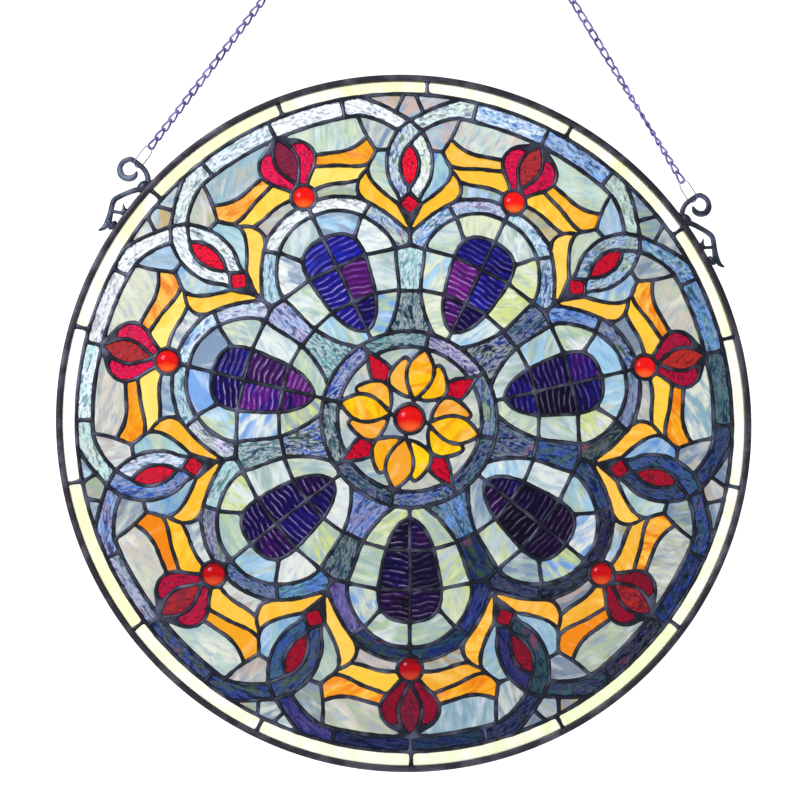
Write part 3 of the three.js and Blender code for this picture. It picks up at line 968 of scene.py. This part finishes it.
def silvery(level, slope, teal=0.35, jitter=0.18):
    """Tints along a row from dark to light: level in the middle, and slope for the painted light from corner to
    corner.
    """

    def tints(kind, middle):
        others = (TEALS, TEALS, TEALS, OLIVES, LILACS)
        row = dice.choice(others) if dice.random() < teal else BLUES
        share = level + slope * (skylight(middle) - 0.5) + dice.uniform(-jitter, jitter)
        # The painted sheen is strongest at the upper left and varies from tile to tile.
        lustre_and_sheen = min(max(1.1 * (skylight(middle) - 0.25), 0.06), 0.75) * dice.uniform(0.6, 1.25)
        streak = on_row(dice.choice((BLUES, *others)), share + dice.uniform(-0.2, 0.2))
        return with_lustre_and_sheen(on_row(row, share), lustre_and_sheen), with_lustre_and_sheen(streak, 1)

    return tints


def shaded(rows, level, slope, jitter=0.15, lustre_and_sheen=0.8, light=1.0):
    """Tint and streak from rows that go from dark to light, with painted light: lighter at the upper left."""

    def tints(kind, middle):
        share = level + slope * (skylight(middle) - 0.5)
        picks = [dice.choice(rows) for _ in range(2)]
        pair = [on_row(row, share + dice.uniform(-jitter, jitter)) * light for row in picks]
        # The painted sheen is strongest at the upper left and varies from tile to tile.
        shine = lustre_and_sheen * min(max(0.9 * skylight(middle), 0.25), 1) * dice.uniform(0.4, 1.3)
        return with_lustre_and_sheen(pair[0], shine), with_lustre_and_sheen(pair[1], 1)

    return tints


def mixed(codes, dim=0.32):
    """Tint and streak picked from a few hues, with painted shade that makes them dimmer at the lower right."""

    def tints(kind, middle):
        light = 1 - dim * (1 - skylight(middle))
        pair = [np.array(rgba(dice.choice(codes))) * light for _ in range(2)]
        return with_lustre_and_sheen(pair[0], 1), with_lustre_and_sheen(pair[1], 1)

    return tints


def any_lie(edge):
    return dice.uniform(0, 2 * math.pi)


def lengthways(edge):
    """Turns the sheet so that its wisps and ridges run along the tile."""
    offset = edge - edge.mean(0)
    _, axes = np.linalg.eigh(offset.T @ offset)
    return math.atan2(axes[1, 1], axes[0, 1]) + dice.uniform(-0.2, 0.2)


def out_from_rose(edge):
    """Turns the sheet so that its cords lie across the line from the rose's centre."""
    x, y = edge.mean(0) - ROSE_SHIFT
    return -math.atan2(x, y) + dice.uniform(-0.15, 0.15)


# %% Cut and colour the glass
opal = opal_sheet("opalescent_glass")
cream = opal_sheet("cream_glass", (60, 20, 0.2), 0.3, 0.04)
silvered = ripple_sheet("silvered_ripple_glass", (12, 3.8, 1.2), "f4fbff")
violet = corded_sheet("violet_ripple_glass", "e4c8f6", 5.0)
amber = amber_sheet("amber_glass")
ruby = ruby_sheet("ruby_glass")

CREAMS = ["fdfef2", "f2f9c2", "fdfef8", "f6fbd8"]
INNER = [["d8842c", "ecae1c", "f8dc60"], ["e8a44c", "f2c83c", "fdf49c"]]
OUTER = [["e8780c", "f08c10", "f08a38"], ["f0941c", "f8bc24", "fad070"]]
LEAVES = [["ea9420", "f0b02c", "f8d440"], ["f0a844", "f6c654", "fce268"]]
PETALS_OF_FLOWER = [["dc7c04", "e48e08", "eaac0c"], ["e49c0c", "eeb808", "f4d410"],
                    ["e49c0c", "eeb808", "f4d410"], ["e08e20", "e8a038", "ecb448"]]
LOBES = [["6e0418", "a00a34", "e41450"]]
EYES = [["700824", "b00822", "ee0e34"]]
HEARTS_OF_TULIP = [["5a1020", "801c38", "7a2848"], ["a81c10", "ac2a24", "9c3040"]]
DROPS = [["b00020", "d00026"]]

GLASSWORK = [
    ("petal_hearts", ["core"], shaded([HEARTS, HEARTS, WINES], 0.45, 0.9, 0.2), out_from_rose, violet,
     "violet_glass", numbered("petal_core")),
    ("petal_borders", ["petal"], mixed(MILKS, 0.36), any_lie, opal, "pale_glass", numbered("petal_border")),
    ("blue_band_glass", ["band"], silvery(0.49, 1.2), lengthways, silvered, "blue_glass", ["blue_bands"]),
    ("channel_glass", ["channel"], silvery(0.38, 0.7), lengthways, silvered, "blue_glass",
     ["blue_bands"]),
    ("ring_glass", ["ring"], silvery(0.34, 0.8, 0.6), lengthways, silvered, "blue_glass", ["blue_bands"]),
    ("scallop_glass", ["scallop"], silvery(0.55, 1.1, 0.4), lengthways, silvered, "silver_glass", ["field"]),
    ("crescents", ["crescent"], silvery(0.54, 1.1, 0.3, 0.12), lengthways, silvered, "silver_glass",
     numbered("eye")),
    ("pale_crescents", ["pale_crescent"], mixed(SKIES, 0.25), any_lie, opal, "pale_glass",
     numbered("eye")),
    ("eye_reds", ["diamond"], shaded(EYES, 0.55, 1.2), any_lie, ruby, "red_glass", numbered("eye")),
    ("tulip_lobes", ["lobe"], shaded(LOBES, 0.6, 1.1), any_lie, ruby, "red_glass", numbered("tulip")),
    ("tulip_hearts", ["tulip_heart"], shaded(HEARTS_OF_TULIP, 0.5, 0.6), any_lie, ruby, "red_glass",
     numbered("tulip")),
    ("inner_ribbons", ["inner_ribbon"], shaded(INNER, 0.55, 0.8, light=0.98), any_lie, amber, "amber_glass",
     numbered("garland")),
    ("outer_ribbons", ["outer_ribbon"], shaded(OUTER, 0.45, 0.3, 0.3, light=0.9), any_lie, amber, "amber_glass",
     numbered("garland")),
    ("leaves", ["leaf"], shaded(LEAVES, 0.55, 0.5, light=0.96), any_lie, amber, "amber_glass", numbered("garland")),
    ("slivers", ["sliver"], mixed(GREYS + MILKS[2:4]), any_lie, opal, "pale_glass", numbered("garland")),
    ("field_opals", ["opal"], mixed(FIELDS), any_lie, opal, "pale_glass", ["field"]),
    ("corner_opals", ["corner_opal"], mixed(GREYS), any_lie, opal, "pale_glass", ["field"]),
    ("border_strips", ["strip"], mixed(CREAMS, 0.03), any_lie, cream, "cream_glass", ["border_glass"]),
    ("flower_petal_glass", ["flower_petal"], shaded(PETALS_OF_FLOWER, 0.5, 0.2, 0.5), any_lie, amber,
     "amber_glass", ["flower_petals"]),
    ("flower_kites", ["flower_kite"], mixed(["c9d0c8", "a9b6bc", "dfe4dc"]), any_lie, opal, "pale_glass",
     ["flower_petals"]),
    ("flower_drops", ["flower_drop"], shaded(DROPS, 0.5, 0.5), any_lie, ruby, "red_glass",
     ["flower_corner_1", "flower_corner_2", "flower_corner_3", "flower_corner_4"]),
    ("flower_corners", ["flower_corner"], mixed(CLOUDS), any_lie, opal, "silver_glass",
     numbered("flower_corner", 4)),
]
for name, sorts, tints_of, lie_of, material, slot, nodes in GLASSWORK:
    members = [(k, o, s) for (k, o), s in zip(tiles, shrunk) if k in sorts and s is not None]
    tile_piece(name, members, tints_of, lie_of, material, slot, nodes)

# %% [markdown]
# ## Jewels
#
# The round jewels are cabochons: pressed glass, domed in front and flat behind. Seven of the
# same size stand on a circle, so a node tree makes them: a circle of points, a ball on each,
# pressed flat at the back.


# %% A tree of nodes for the jewels
def start_tree(name, inputs):
    """An empty geometry tree with named inputs of its own and one mesh as its output."""
    tree = bpy.data.node_groups.new(name, "GeometryNodeTree")
    for label, kind in inputs.items():
        tree.interface.new_socket(label, in_out="INPUT", socket_type=f"NodeSocket{kind}")
    tree.interface.new_socket("Geometry", in_out="OUTPUT", socket_type="NodeSocketGeometry")
    source = tree.nodes.new("NodeGroupInput")
    given = {label: Flow(tree, source.outputs[label]) for label in inputs}
    return tree, Flow(tree), given


def end_tree(tree, shape, material):
    realised = shape.node("GeometryNodeRealizeInstances", feeds={0: shape})
    dressed = shape.node("GeometryNodeSetMaterial", feeds={0: realised, "Material": material})
    sink = tree.nodes.new("NodeGroupOutput")
    tree.links.new(dressed.output, sink.inputs[0])


def grow(tree, values, name):
    """The mesh that a tree makes from these values."""
    host = bpy.data.objects.new(name, bpy.data.meshes.new(name))
    bpy.context.scene.collection.objects.link(host)
    modifier = host.modifiers.new("tree", "NODES")
    modifier.node_group = tree
    for item in tree.interface.items_tree:
        if item.in_out == "INPUT":
            modifier[item.identifier] = values[item.name]
    grown = bpy.data.meshes.new_from_object(host.evaluated_get(bpy.context.evaluated_depsgraph_get()))
    bpy.data.objects.remove(host)
    return grown


def jewel_tree(material):
    inputs = {"Count": "Int", "Circle": "Float", "Radius": "Float", "Dome": "Float", "Back": "Float"}
    tree, flow, given = start_tree("jewels_on_a_circle", inputs)
    angle = flow.node("GeometryNodeInputIndex") * (2 * math.pi / PETALS)
    spot = [flow.maths(how, angle) * given["Circle"] for how in ("COSINE", "SINE")]
    spot = flow.node("ShaderNodeCombineXYZ", feeds={0: spot[0], 1: spot[1]})
    spots = flow.node("GeometryNodePoints", feeds={"Count": given["Count"], "Position": spot})
    ball = flow.node("GeometryNodeMeshUVSphere", feeds={"Segments": 40, "Rings": 24, "Radius": 1.0})
    size = flow.node("ShaderNodeCombineXYZ", feeds={0: given["Radius"], 1: given["Radius"], 2: given["Dome"]})
    sized = flow.node("GeometryNodeTransform", feeds={"Geometry": ball, "Scale": size})
    place_of = flow.node("GeometryNodeInputPosition")
    x, y, z = [flow.node("ShaderNodeSeparateXYZ", feeds={0: place_of}, output=i) for i in range(3)]
    pressed = flow.maths("MAXIMUM", z, 0 - given["Back"])
    flat = flow.node("ShaderNodeCombineXYZ", feeds={0: x, 1: y, 2: pressed})
    cabochon = flow.node("GeometryNodeSetPosition", feeds={"Geometry": sized, "Position": flat})
    smooth = flow.node("GeometryNodeSetShadeSmooth", feeds={0: cabochon})
    kept = {"Geometry": smooth, "Name": "lens", "Value": flat.node("ShaderNodeVectorMath", {
        "operation": "DIVIDE"}, {0: flat, 1: size})}
    settings = {"data_type": "FLOAT_VECTOR", "domain": "POINT"}
    marked = flow.node("GeometryNodeStoreNamedAttribute", settings, kept)
    ring = flow.node("GeometryNodeInstanceOnPoints", feeds={"Points": spots, "Instance": marked})
    end_tree(tree, ring, material)
    return tree


def jewel_finish():
    """Clear red glass with painted light and shade: darker at the edge, lighter higher up the panel, and with a
    painted glow low down.
    """
    material, tree, shader = new_material("jewel_glass")
    spot = tree.node("ShaderNodeTexCoord", output=3)
    up = tree.node("ShaderNodeSeparateXYZ", feeds={0: spot}, output=2)
    lens = tree.node("ShaderNodeAttribute", {"attribute_name": "lens"}, output=1)
    x, y = [tree.node("ShaderNodeSeparateXYZ", feeds={0: lens}, output=i) for i in range(2)]
    edge = tree.maths("SQRT", x * x + y * y)
    # Painted light: jewels higher on the panel are a lighter red.
    light = (up + tree.cloud(spot, 120) * 0.06).clamp(CENTRE_Z - 0.2, CENTRE_Z + 0.14)
    colour = light.blend(rgba("a0020e"), rgba("ec140c"))
    # Painted glow: orange light in the lower part of each lens.
    glow = (x - 0.25 * edge).clamp(0.0, 0.6) * (0.3 + 0.7 * light)
    colour = glow.blend(colour, rgba("f8741a"))
    # Painted shade: darker at the lens's edge.
    colour = edge.clamp(0.66, 1.0).blend(colour, rgba("600210"))
    bubbles = {"Strength": 0.2, "Distance": 0.0005, "Height": tree.cloud(spot, 400)}
    feed(shader, base_color=colour, normal=tree.node("ShaderNodeBump", feeds=bubbles))
    shader.inputs["Roughness"].default_value = 0.14
    shader.inputs["Specular Tint"].default_value = rgba("a8a0b8")
    shader.inputs["Transmission Weight"].default_value = 0.9
    shader.inputs["IOR"].default_value = 1.5
    return material


# %% Set the jewels
def on_panel(turned_by, shift=(0, 0)):
    """From the rose's own plane, in metres, to the panel in the frame."""
    across = Matrix.Rotation(turned_by, 4, "Z")
    upright = Matrix.Rotation(math.pi / 2, 4, "X")
    centre = Matrix.Translation(world(*shift, 0))
    return centre @ upright @ across


jewel_glass = jewel_finish()
tree = jewel_tree(jewel_glass)
common = {"Dome": 0.0061, "Back": GLASS / 2 * MM}
ring_of_jewels = {"Count": PETALS, "Circle": JEWEL_CIRCLE * MM, "Radius": 0.0103, **common}
first_jewel = ROSE_TWIST - math.pi / 2
for name, values, nodes in (
    ("tulip_jewels", ring_of_jewels, numbered("jewel")),
    ("flower_jewel", {"Count": 1, "Circle": 0.0, "Radius": 0.0122, **common, "Dome": 0.0066},
     ["jewel_centre"]),
):
    mesh = grow(tree, values, name)
    mesh.transform(on_panel(first_jewel, ROSE_SHIFT))
    finish_piece(name, mesh, jewel_glass, "red_glass", nodes)

# %% [markdown]
# ## Rim
#
# The rim is a U-shaped channel of lead or zinc, bent round the panel and closed at the top. Its
# section is turned round the centre, with its edges softened.


# %% Turn the rim
def rim_section():
    """The channel's outline as [radius, depth]: round the outside, then back inside the groove."""
    outside = [(LIP_RADIUS, 2.6), (LIP_RADIUS, 3.1), (LIP_RADIUS + 0.4, RIM_HALF_DEPTH)]
    outside += [(RIM_RADIUS - 1.0, RIM_HALF_DEPTH), (RIM_RADIUS - 0.3, 3.2), (RIM_RADIUS, 2.5)]
    groove = [(RIM_RADIUS - 1.2, 2.3), (LIP_RADIUS, 2.3)]
    mirrored = [(r, -d) for r, d in reversed(outside)]
    return [*outside, *mirrored, (LIP_RADIUS, -2.3), (RIM_RADIUS - 1.2, -2.3), *groove]


RIM_STEPS = 240
section = rim_section()
points, faces = [], []
for i in range(RIM_STEPS):
    angle = 2 * math.pi * i / RIM_STEPS
    points += [world(r * math.sin(angle), r * math.cos(angle), d) for r, d in section]
for i in range(RIM_STEPS):
    here, there = i * len(section), (i + 1) % RIM_STEPS * len(section)
    for k in range(len(section)):
        k2 = (k + 1) % len(section)
        faces.append([here + k, here + k2, there + k2, there + k])
rim_metal = patina_finish("rim_patina", "3a3640", "6f6878", rough=0.5)
rim_mesh = build_mesh("rim_channel", points, faces, smooth=True)
finish_piece("rim_channel", rim_mesh, rim_metal, "rim_metal", ["rim"])

# %% [markdown]
# ## Scroll brackets
#
# Each bracket is cast metal: a scroll that the chain hooks into, and below it a leaf that rests
# on the rim. The chain pulls the scroll inwards, and the leaf spreads that pull over the solder.
# A bracket is drawn at the top of the rim and then turned down to its place. Its arms are swept
# along their middle lines with a rounded section.


# %% Sweep an arm
def arm(marks, depth, step=1.2, sides=14, taper=0.0):
    """A rounded bar along marks of [x, y, width]. Both ends are closed with a round cap."""
    path = curve(*marks, step=step)
    along = np.gradient(path[:, :2], axis=0)
    along /= np.linalg.norm(along, axis=1)[:, None]
    across = np.c_[-along[:, 1], along[:, 0]]
    rings = [(path[i, :2], along[i], across[i], path[i, 2], 1.0) for i in range(len(path))]
    caps = []
    for i, sign in ((0, -1), (-1, 1)):
        where, heading, side, width, _ = rings[i]
        for rise, size in ((0.45, 0.87), (0.8, 0.5)):
            caps.append((sign, (where + sign * heading * width / 2 * rise, heading, side, width, size)))
    rings = [r for sign, r in caps[:2]][::-1] + rings + [r for sign, r in caps[2:]]
    points, faces = [], []
    for where, _, side, width, size in rings:
        for k in range(sides):
            a = 2 * math.pi * k / sides
            c, s = math.cos(a), math.sin(a)
            c, s = math.copysign(abs(c) ** 0.75, c), math.copysign(abs(s) ** 0.75, s)
            x, y = where + side * c * width / 2 * size
            points.append((x, y, s * depth / 2 * size))
    count = len(rings)
    for r in range(count - 1):
        for k in range(sides):
            k2 = (k + 1) % sides
            faces.append([r * sides + k, r * sides + k2, (r + 1) * sides + k2, (r + 1) * sides + k])
    faces.append(list(range(sides))[::-1])
    faces.append([(count - 1) * sides + k for k in range(sides)])
    return points, faces


def blob(where, size, sides=16):
    """A lump of solder or cast metal: a ball stretched to a size."""
    points, faces = [(where[0], where[1], where[2] + size[2])], []
    rows = 9
    for r in range(1, rows):
        tilt = math.pi * r / rows
        for k in range(sides):
            a = 2 * math.pi * k / sides
            x, y, z = math.sin(tilt) * math.cos(a), math.sin(tilt) * math.sin(a), math.cos(tilt)
            points.append((where[0] + size[0] * x, where[1] + size[1] * y, where[2] + size[2] * z))
    points.append((where[0], where[1], where[2] - size[2]))
    last = len(points) - 1
    for k in range(sides):
        k2 = (k + 1) % sides
        faces.append([0, 1 + k, 1 + k2])
        for r in range(rows - 2):
            a, b = 1 + r * sides, 1 + (r + 1) * sides
            faces.append([a + k, b + k, b + k2, a + k2])
        faces.append([last, last - sides + k2, last - sides + k])
    return points, faces


# %% Cast the brackets
BRACKET_ANGLE = math.radians(52)
SCROLL_CENTRE, SCROLL_RADIUS, SCROLL_END, SCROLL_SWEEP = (-4, 20.4), 8.9, 6.1, 287
scroll = [(-1.5, -1, 5.6), (-6.2, 2.0, 5.2), (-9.8, 6.0, 4.8), (-12.2, 12.5, 4.6)]
for i in range(1, 11):
    angle = math.radians(SCROLL_SWEEP * i / 10)
    curl = max(0, i / 10 - 0.6) / 0.4
    radius = SCROLL_RADIUS + (SCROLL_END - SCROLL_RADIUS) * curl
    x, y = SCROLL_CENTRE[0] - radius * math.cos(angle), SCROLL_CENTRE[1] + radius * math.sin(angle)
    scroll.append((x, y, 4.7 + 0.9 * (i > 4) * (i < 9) if i < 10 else 2.4))
leaf = [(1, 0.5, 5.6), (6.5, 5, 5), (14.5, 9.2, 4.6), (22, 12.3, 4.8), (26, 12.8, 4.8), (30.5, 11, 4.8),
        (36.2, 7.8, 5), (43.5, 4.2, 6), (49.5, 3.6, 4.2), (54, 5.2, 1.4)]
parts = [
    arm(scroll, 3.0),
    arm(leaf, 3.0),
    arm([(34.5, 8.5, 3.4), (31, 3, 3), (27.5, -3, 3.4)], 2.8),
    arm([(43, 5, 5), (43, 1, 5), (43, -3.4, 6.4)], 5.5),
    arm([(28, -1, 4), (25.6, 1.6, 3.2), (22.9, 4.8, 1.0)], 2.6),
    blob((27.6, 0.2, 0), (3.8, 2.4, 2.6)),
    blob((0, 2.2, 0), (6.4, 4.6, 3.5)),
    blob((43, -0.5, 0), (5, 2.6, 3.4)),
    blob((-3.2, -1.2, 0), (9, 2.6, 3.3)),
]


def bracket_mesh(name, side):
    made = bmesh.new()
    for points, faces in parts:
        flat = turn(np.array(points)[:, :2] + (0, RIM_RADIUS), BRACKET_ANGLE)
        verts = [made.verts.new(world(side * x, y, p[2])) for (x, y), p in zip(flat, points)]
        for face in faces:
            made.faces.new([verts[i] for i in face])
    bmesh.ops.recalc_face_normals(made, faces=made.faces)
    mesh = bpy.data.meshes.new(name)
    made.to_mesh(mesh)
    made.free()
    mesh.shade_smooth()
    return mesh


bracket_metal = patina_finish("bracket_patina", "363c4c", "747c94", rough=0.45, bump_scale=0.5)
for side, word in ((1, "right"), (-1, "left")):
    mesh = bracket_mesh(f"scroll_{word}", side)
    finish_piece(f"scroll_{word}", mesh, bracket_metal, "bracket_metal", [f"bracket_{word}"])

# %% [markdown]
# ## Chain
#
# The chain is light curb chain: each link is an oval of wire with a quarter turn of twist, so
# that the links lie nearly flat against each other. One node tree bends a link and sets a row
# of them. It makes the two runs, the long links that hook into the scrolls, and the one link in
# the middle that the window hangs by.


# %% A tree of nodes for links
def link_tree(material):
    sizes = ["Pitch", "Length", "Width", "Wire", "Twist", "First Roll", "Last Roll"]
    inputs = {"Count": "Int", **{label: "Float" for label in sizes}}
    tree, flow, given = start_tree("row_of_links", inputs)
    size = {"Width": given["Width"], "Height": given["Length"]}
    oblong = flow.node("GeometryNodeCurvePrimitiveQuadrilateral", feeds=size)
    corner = {"Curve": oblong, "Radius": given["Width"] * 0.499, "Count": 6}
    oval = flow.node("GeometryNodeFilletCurve", {"mode": "POLY"}, corner)
    even = flow.node("GeometryNodeResampleCurve", feeds={"Curve": oval, "Count": 24})
    spot = flow.node("GeometryNodeInputPosition")
    x, y = [flow.node("ShaderNodeSeparateXYZ", feeds={0: spot}, output=i) for i in range(2)]
    angle = given["Twist"] * flow.maths("DIVIDE", y, given["Length"])
    twisted = {0: x * flow.maths("COSINE", angle), 1: x * flow.maths("SINE", angle), 2: y}
    bent = flow.node("ShaderNodeCombineXYZ", feeds=twisted)
    link = flow.node("GeometryNodeSetPosition", feeds={"Geometry": even, "Position": bent})
    circle = {"Resolution": 8, "Radius": given["Wire"] * 0.5}
    wire = flow.node("GeometryNodeCurvePrimitiveCircle", feeds=circle)
    solid = flow.node("GeometryNodeCurveToMesh", feeds={"Curve": link, "Profile Curve": wire})
    smooth = flow.node("GeometryNodeSetShadeSmooth", feeds={0: solid})
    start = flow.node("ShaderNodeCombineXYZ", feeds={2: given["Pitch"] * 0.5})
    offset = flow.node("ShaderNodeCombineXYZ", feeds={2: given["Pitch"]})
    row = {"Count": given["Count"], "Start Location": start, "Offset": offset}
    spots = flow.node("GeometryNodeMeshLine", feeds=row)
    share = flow.maths("DIVIDE", flow.node("GeometryNodeInputIndex"), given["Count"] - 1)
    roll = given["First Roll"] + (given["Last Roll"] - given["First Roll"]) * share
    rolled = flow.node("ShaderNodeCombineXYZ", feeds={2: roll})
    feeds = {"Points": spots, "Instance": smooth, "Rotation": rolled}
    end_tree(tree, flow.node("GeometryNodeInstanceOnPoints", feeds=feeds), material)
    return tree


def steel_finish():
    """Bright steel wire with a violet cast from the oven it was blued in."""
    material, tree, shader = new_material("chain_steel")
    spot = tree.node("ShaderNodeTexCoord", output=3)
    drift = tree.cloud(spot, 80, detail=2)
    feed(shader, base_color=drift.clamp(0.35, 0.65).blend(rgba("5f5894"), rgba("9c92d0")))
    shader.inputs["Metallic"].default_value = 0.5
    shader.inputs["Roughness"].default_value = 0.45
    shader.inputs["Specular IOR Level"].default_value = 0.25
    return material


# %% Hang the chain
PITCH, LINK_WIDTH, WIRE = 10.0, 7.0, 2.0
RUN_ROLLS = {"left": (45, 45), "right": (15, 405)}  # how the lowest and the top link are turned
MIDDLE_LENGTH, MIDDLE_WIDTH = 12.8, 7.0  # along and across the middle link, between wire centres
HOOK_LENGTH, HOOK_WIDTH, HOOK_WIRE, HOOK_ROLL = 21.6, 9.6, 1.0, math.radians(45)

eye = turn((SCROLL_CENTRE[0] - SCROLL_RADIUS, RIM_RADIUS + SCROLL_CENTRE[1] - 1.4), BRACKET_ANGLE)
drop = -(eye[1] + CENTRE_Z / MM)
run_angle = math.atan2(eye[0], drop)
hook_foot = math.hypot(eye[0], drop) + 3.7
hook_top = hook_foot - HOOK_LENGTH

# The runs leave the middle link where their lines cross its wire.
across, half = math.sin(run_angle), (MIDDLE_LENGTH - MIDDLE_WIDTH) / 2
crossing = across * half + math.sqrt((across * half) ** 2 + (MIDDLE_WIDTH / 2) ** 2 - half**2)
run_start = crossing - WIRE / 2
run_length = hook_top + HOOK_WIRE / 2 - run_start
links = round(run_length / PITCH)
pitch = run_length / links
print(f"{links} links a side, {pitch:.2f} mm apart, {math.degrees(run_angle):.1f} degrees from upright")

steel = steel_finish()
tree = link_tree(steel)


def row_of_links(name, count, pitch, length, width, wire, twist=0.0, rolls=(0.0, 0.0)):
    sizes = {"Pitch": pitch, "Length": length, "Width": width, "Wire": wire}
    values = {"Count": count, **{label: size * MM for label, size in sizes.items()}}
    return grow(tree, {**values, "Twist": twist, "First Roll": rolls[0], "Last Roll": rolls[1]}, name)


def hung(side, drop):
    """From a row's own upright line to the line of one run, so that the row ends at a drop."""
    return Matrix.Rotation(-side * run_angle, 4, "Y") @ Matrix.Translation((0, 0, -drop * MM))


quarter_turn = math.pi / 2
for side, word in ((1, "right"), (-1, "left")):
    length, width = pitch + WIRE, LINK_WIDTH - WIRE
    twist, rolls = quarter_turn, [math.radians(roll) for roll in RUN_ROLLS[word]]
    mesh = row_of_links(f"run_{word}", links, pitch, length, width, WIRE, twist, rolls)
    mesh.transform(hung(side, run_start + run_length))
    finish_piece(f"run_{word}", mesh, steel, "chain_steel", [f"chain_{word}"])
    rolls = (-side * HOOK_ROLL, 0.0)
    mesh = row_of_links(f"hook_{word}", 1, HOOK_LENGTH, HOOK_LENGTH, HOOK_WIDTH, HOOK_WIRE, 0.0, rolls)
    mesh.transform(hung(side, hook_foot))
    finish_piece(f"hook_{word}", mesh, steel, "chain_steel", [f"connector_{word}"])
mesh = row_of_links("middle_link", 1, 0.0, MIDDLE_LENGTH, MIDDLE_WIDTH, WIRE)
mesh.transform(Matrix.Rotation(quarter_turn, 4, "Y"))
finish_piece("middle_link", mesh, steel, "chain_steel", ["chain_middle_link"])

# %% [markdown]
# ## Stage and light
#
# The window hangs in front of a bright, even sky, as it would before a window pane, because
# glass shows its colours with light behind it. A soft light from the front, high on the left,
# picks out the solder and the ripples. The floor is plain, pale and well below.

# %% Floor and lights
made = bmesh.new()
bmesh.ops.create_circle(made, cap_ends=True, segments=96, radius=4.0)
floor_mesh = bpy.data.meshes.new("floor")
made.to_mesh(floor_mesh)
made.free()
floor_mesh.transform(Matrix.Translation((0, 0, -1.7)))
floor = bpy.data.objects.new("floor", floor_mesh)
bpy.context.scene.collection.objects.link(floor)
floor_paint, _, shader = new_material("floor_paint")
shader.inputs["Base Color"].default_value = rgba("efefef")
shader.inputs["Roughness"].default_value = 0.9
floor_mesh.materials.append(floor_paint)
floor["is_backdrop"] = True

sky = bpy.data.worlds.new("even_sky")
sky.use_nodes = True
tree = Flow(sky.node_tree)
heading = tree.node("ShaderNodeTexCoord")
behind = tree.node("ShaderNodeSeparateXYZ", feeds={0: heading}, output=1).clamp(-0.25, 0.3)
bright = behind.blend(rgba("8a8c90"), (1, 1, 1, 1))
background = sky.node_tree.nodes["Background"]
sky.node_tree.links.new(bright.output, background.inputs["Color"])
background.inputs["Strength"].default_value = 1.35
bpy.context.scene.world = sky


def soft_light(name, place, aim, size, power):
    lamp = bpy.data.lights.new(name, "AREA")
    lamp.shape, lamp.size, lamp.energy = "DISK", size, power
    holder = bpy.data.objects.new(name, lamp)
    bpy.context.scene.collection.objects.link(holder)
    holder.location = place
    holder.rotation_euler = (Vector(aim) - Vector(place)).to_track_quat("-Z", "Y").to_euler()


PANEL = (0, 0, CENTRE_Z)
soft_light("front_light", (-1.1, -1.6, 0.35), PANEL, 0.9, 26)

# %% [markdown]
# ## Camera
#
# The camera stands about 1.4 m away, nearly level with the panel and square to it.


# %% Place the camera
def spin(axis, degrees):
    return np.array(Matrix.Rotation(math.radians(degrees), 3, axis))


stand = np.array((9.98, -14.29, 1410.5))  # from the lens to the panel's centre: right, up, away
level = np.array([[1, 0, 0], [0, 0, 1], [0, 1, 0]])  # the panel's axes: right, up, away
view = spin("Z", 63.065) @ spin("X", -3.015) @ spin("Y", -7.767) @ spin("Z", -65.765) @ level
place = -view.T @ stand * MM + (0, 0, CENTRE_Z)
camera = bpy.data.objects.new("camera", bpy.data.cameras.new("camera"))
bpy.context.scene.collection.objects.link(camera)
camera.data.lens, camera.data.sensor_width = 72.7, 36.0
turned = Matrix((view[0], view[1], -view[2])).transposed()
camera.matrix_world = Matrix.Translation(place) @ turned.to_4x4()
bpy.context.scene.camera = camera
bpy.context.scene.view_settings.view_transform = "Standard"
print("camera at", [round(value, 3) for value in place])

# %% [markdown]
# ## Size
#
# The dressed window keeps the size of the solid model. Both boxes are written down, so that
# they can be compared.

# %% Compare the sizes
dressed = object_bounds()
boxes = {name: [list(corner) for corner in box] for name, box in (("loaded", loaded), ("dressed", dressed))}
for name, box in boxes.items():
    print(name, [round((high - low) / MM, 2) for low, high in zip(*box)], "mm")
